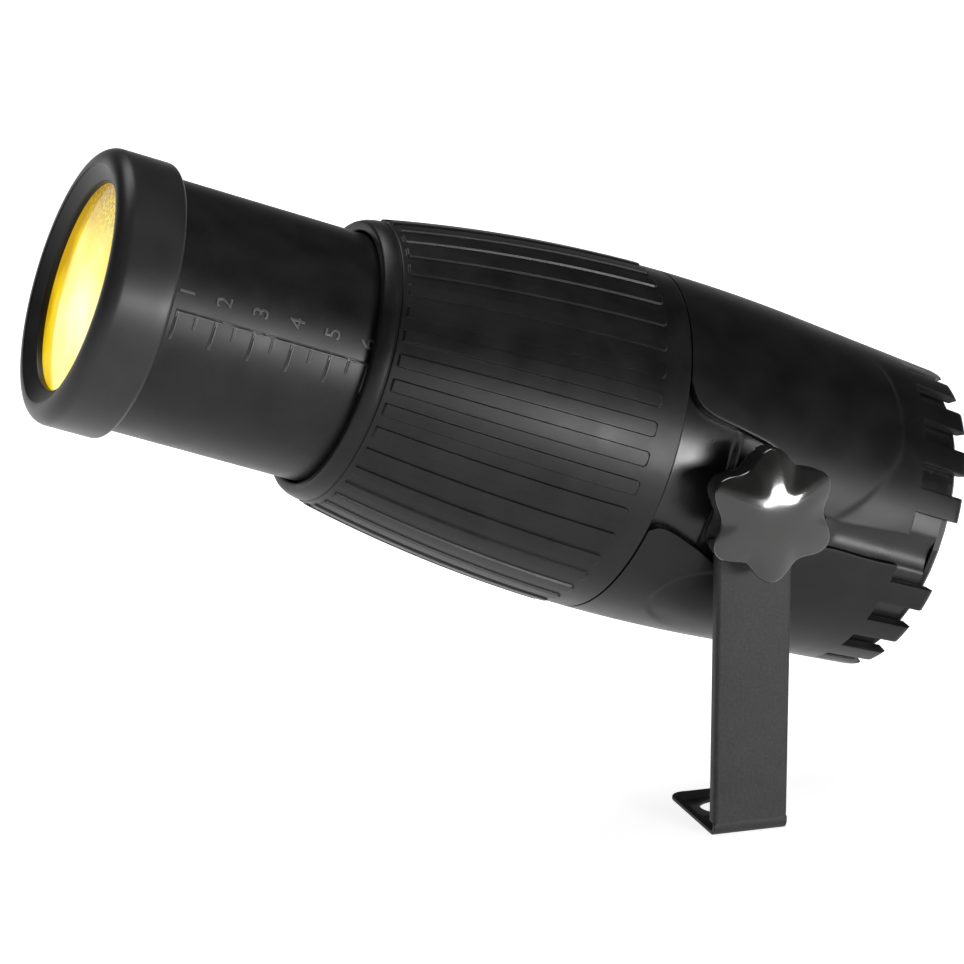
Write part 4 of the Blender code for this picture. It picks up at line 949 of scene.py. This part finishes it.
# %% [markdown]
# ## Clamp knob
#
# The knob is a glossy six-lobed star. Its radius round the clamp axis is a circle plus a cosine wave for the
# lobes, and the section along the axis is a tall, slightly tapered skirt that turns over a tight rim into a
# shallow dome. The lobes fade out towards the crown, so the dome is smooth where it reflects the studio.

# %% Knob
knob_low, knob_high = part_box("clamp_knob")
knob_in, knob_out = knob_low.x * 1000, knob_high.x * 1000
KNOB_RADIUS = (knob_high.z - knob_low.z) * 500
LOBE = 3.6
depth = knob_out - knob_in
skirt = [(0.84, 0.0), (0.88, 0.15), (0.93, 0.6), (0.955, 1.6), (0.975, 3.4), (0.99, 5.6), (1.0, 8.2)]
rim_turn = np.radians(np.linspace(8, 68, 7))
rim = [(0.945 + 0.055 * math.cos(t), 8.2 + 1.0 * math.sin(t)) for t in rim_turn]
last_share, last_depth = rim[-1]
crown_share = np.linspace(last_share, 0, 26)[1:]
crown_depth = last_depth + (depth - 0.1 - last_depth) * (1 - (crown_share / last_share) ** 2)
levels = np.array(skirt + rim + list(zip(crown_share, crown_depth)))
knob_angle = np.linspace(0, 2 * np.pi, 180, endpoint=False)
lobe_fade = ease(0.15, 0.9, levels[:, :1])
wave = np.cos(6 * (knob_angle - np.pi / 2))
reach = KNOB_RADIUS - LOBE / 2 + LOBE / 2 * wave * lobe_fade
knob_r = levels[:, :1] * reach
knob_x = knob_in + levels[:, 1:] + 0 * knob_angle
bore_rows = np.array([(3.3, 0.0), (3.3, 8.0), (0.0, 8.0)])
back_r = np.repeat(bore_rows[::-1, :1], 180, axis=1)
back_x = knob_in + np.repeat(bore_rows[::-1, 1:], 180, axis=1)
knob_r = np.vstack([back_r, knob_r])
knob_x = np.vstack([back_x, knob_x])
knob_points = MM * np.stack([knob_x, pivot_mm[1] + knob_r * np.cos(knob_angle),
                             pivot_mm[2] + knob_r * np.sin(knob_angle)], -1)
faces = lattice_faces(len(knob_r), 180, False, True).reshape(-1, 4)
flat_knob = knob_points.reshape(-1, 3)
knob = make_object("knob_star", flat_knob, outward(flat_knob, faces, flat_knob.mean(0)), sharp=50)
dress(knob, "knob", "gloss_black", "clamp_knob", material=knob_gloss)

# %% [markdown]
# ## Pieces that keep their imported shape
#
# Washers, screws, lenses, boards and the fan sit inside or show only a little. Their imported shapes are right,
# so they only take a finish that fits what they are.

# %% Finishes for the carried-over nodes
carried = {  # screws aren't listed: they are all bright steel
    inner_black: ["guide_tube", "rear_lens_retainer", "condenser_holder", "driver_transformer", "fan_frame",
                  "fan_rotor", "pivot_blank", "pattern_holder", "driver_capacitor"],
    shell_black: ["rear_cover"],
    core_gloss: ["cable_gland", "gland_nut"],
    soft_rubber: ["lens_gasket", "friction_ring"],
    optical_glass: ["rear_lens", "pattern_glass", "condenser_lens"],
    bright_steel: ["guide_pin", "spring_clip", "clamp_washer", "clamp_stud"],
    turned_brass: ["pivot_insert"],
    milled_aluminium: ["heatsink"],
    circuit_board: ["led_board", "driver_board"],
    phosphor: ["led_emitter"],
}
finish_of = {node: material for material, names in carried.items() for node in names}
for node, obj in frame["nodes"].items():
    material = finish_of.get(node, bright_steel if "screw" in node else inner_black)
    if obj.material_slots:
        for place_slot in obj.material_slots:
            place_slot.material = material
    else:
        obj.data.materials.append(material)
print("carried over:", len(finish_of), "named, the rest are screws")

# %% [markdown]
# ## Studio
#
# A pale floor, a sky that is light only near the horizon, and three soft lights are all the set there is. The
# floor glows a little, as a light table does, so shadows stay faint and its bounce lifts the underside of the
# barrel. The light that matters most for black plastic is the low box at the flank: it draws the long highlight
# on the sleeve and the bright window in the knob. The other two only soften the top.

# %% Floor
FLOOR_GAP = 0.0002
FLOOR_GLOW = 0.86
floor_rings = np.array([0.0, 0.5, 1.5, 4.0, 12.0, 40.0])
floor_turn = np.linspace(0, 2 * np.pi, 96, endpoint=False)
floor_points = np.stack([
    np.stack([r * np.cos(floor_turn), r * np.sin(floor_turn), np.full(96, foot_low.z - FLOOR_GAP)], -1)
    for r in floor_rings])
floor = make_object("studio_floor", floor_points.reshape(-1, 3),
                    lattice_faces(len(floor_rings), 96, False, True).reshape(-1, 4)[:, ::-1])


def floor_finish():
    """Pale matt sheet with a very faint mottle, lit evenly from below."""
    material, tree, shader, coordinates = new_finish("floor_paper")
    mottle = add_noise(tree, coordinates, 400.0, 2.0)
    paper = blend_tones(tree, mottle, (0.90, 0.90, 0.90), (0.93, 0.93, 0.93))
    tree.links.new(paper, shader.inputs["Base Color"])
    shader.inputs["Roughness"].default_value = 0.9
    shader.inputs["Specular IOR Level"].default_value = 0.1
    shader.inputs["Emission Color"].default_value = (1.0, 1.0, 1.0, 1.0)
    shader.inputs["Emission Strength"].default_value = FLOOR_GLOW
    return material


floor.data.materials.append(floor_finish())
print("floor reaches", floor_rings[-1], "m")

# %% Lights
def soft_light(name, position, aim, width, height_, power):
    """A rectangular area light that looks at a point."""
    data = bpy.data.lights.new(name, "AREA")
    data.shape = "RECTANGLE"
    data.size, data.size_y, data.energy = width, height_, power
    obj = bpy.data.objects.new(name, data)
    bpy.context.scene.collection.objects.link(obj)
    obj.location = position
    obj.rotation_mode = "QUATERNION"
    obj.rotation_quaternion = (Vector(aim) - Vector(position)).to_track_quat("-Z", "Y")
    return obj


centre = (cad_box[0] + cad_box[1]) / 2
soft_light("overhead", (-0.9, -0.2, 1.9), centre, 1.2, 1.2, 20)
soft_light("window", (0.34, 0.36, 1.10), centre, 0.42, 0.30, 0.5)
soft_light("flank", (1.45, 0.62, 0.11), centre, 0.70, 0.30, 27)
world = bpy.data.worlds.new("studio")
bpy.context.scene.world = world
world.use_nodes = True
sky = world.node_tree
direction = sky.nodes.new("ShaderNodeTexCoord").outputs["Generated"]
rise = sky.nodes.new("ShaderNodeSeparateXYZ")
sky.links.new(direction, rise.inputs[0])
fade = blend_tones(sky, rise.outputs["Z"], (0.80, 0.80, 0.80), (0.03, 0.03, 0.03), 0.02, 0.30)
sky.links.new(fade, sky.nodes["Background"].inputs["Color"])
sky.nodes["Background"].inputs["Strength"].default_value = 1.0

# %% [markdown]
# ## Camera
#
# The camera stands well back with a long lens, on the arm's side of the lamp, a little in front of it and
# above it. A long lens keeps the barrel's taper honest.

# %% Camera
AZIMUTH, ELEVATION = 71.8, 14.94
camera_data = bpy.data.cameras.new("camera")
camera_data.lens = 149.38
camera_data.sensor_width = 36.0
camera_data.clip_start, camera_data.clip_end = 0.05, 100
camera = bpy.data.objects.new("camera", camera_data)
bpy.context.scene.collection.objects.link(camera)
camera.location = pivot + np.array([0.9364, -0.3644, 0.2619])
a, e = math.radians(AZIMUTH), math.radians(ELEVATION)
back = Vector((math.sin(a) * math.cos(e), -math.cos(a) * math.cos(e), math.sin(e)))
camera.rotation_mode = "QUATERNION"
camera.rotation_quaternion = back.to_track_quat("Z", "Y")
bpy.context.scene.camera = camera
bpy.context.scene.view_settings.view_transform = "Standard"
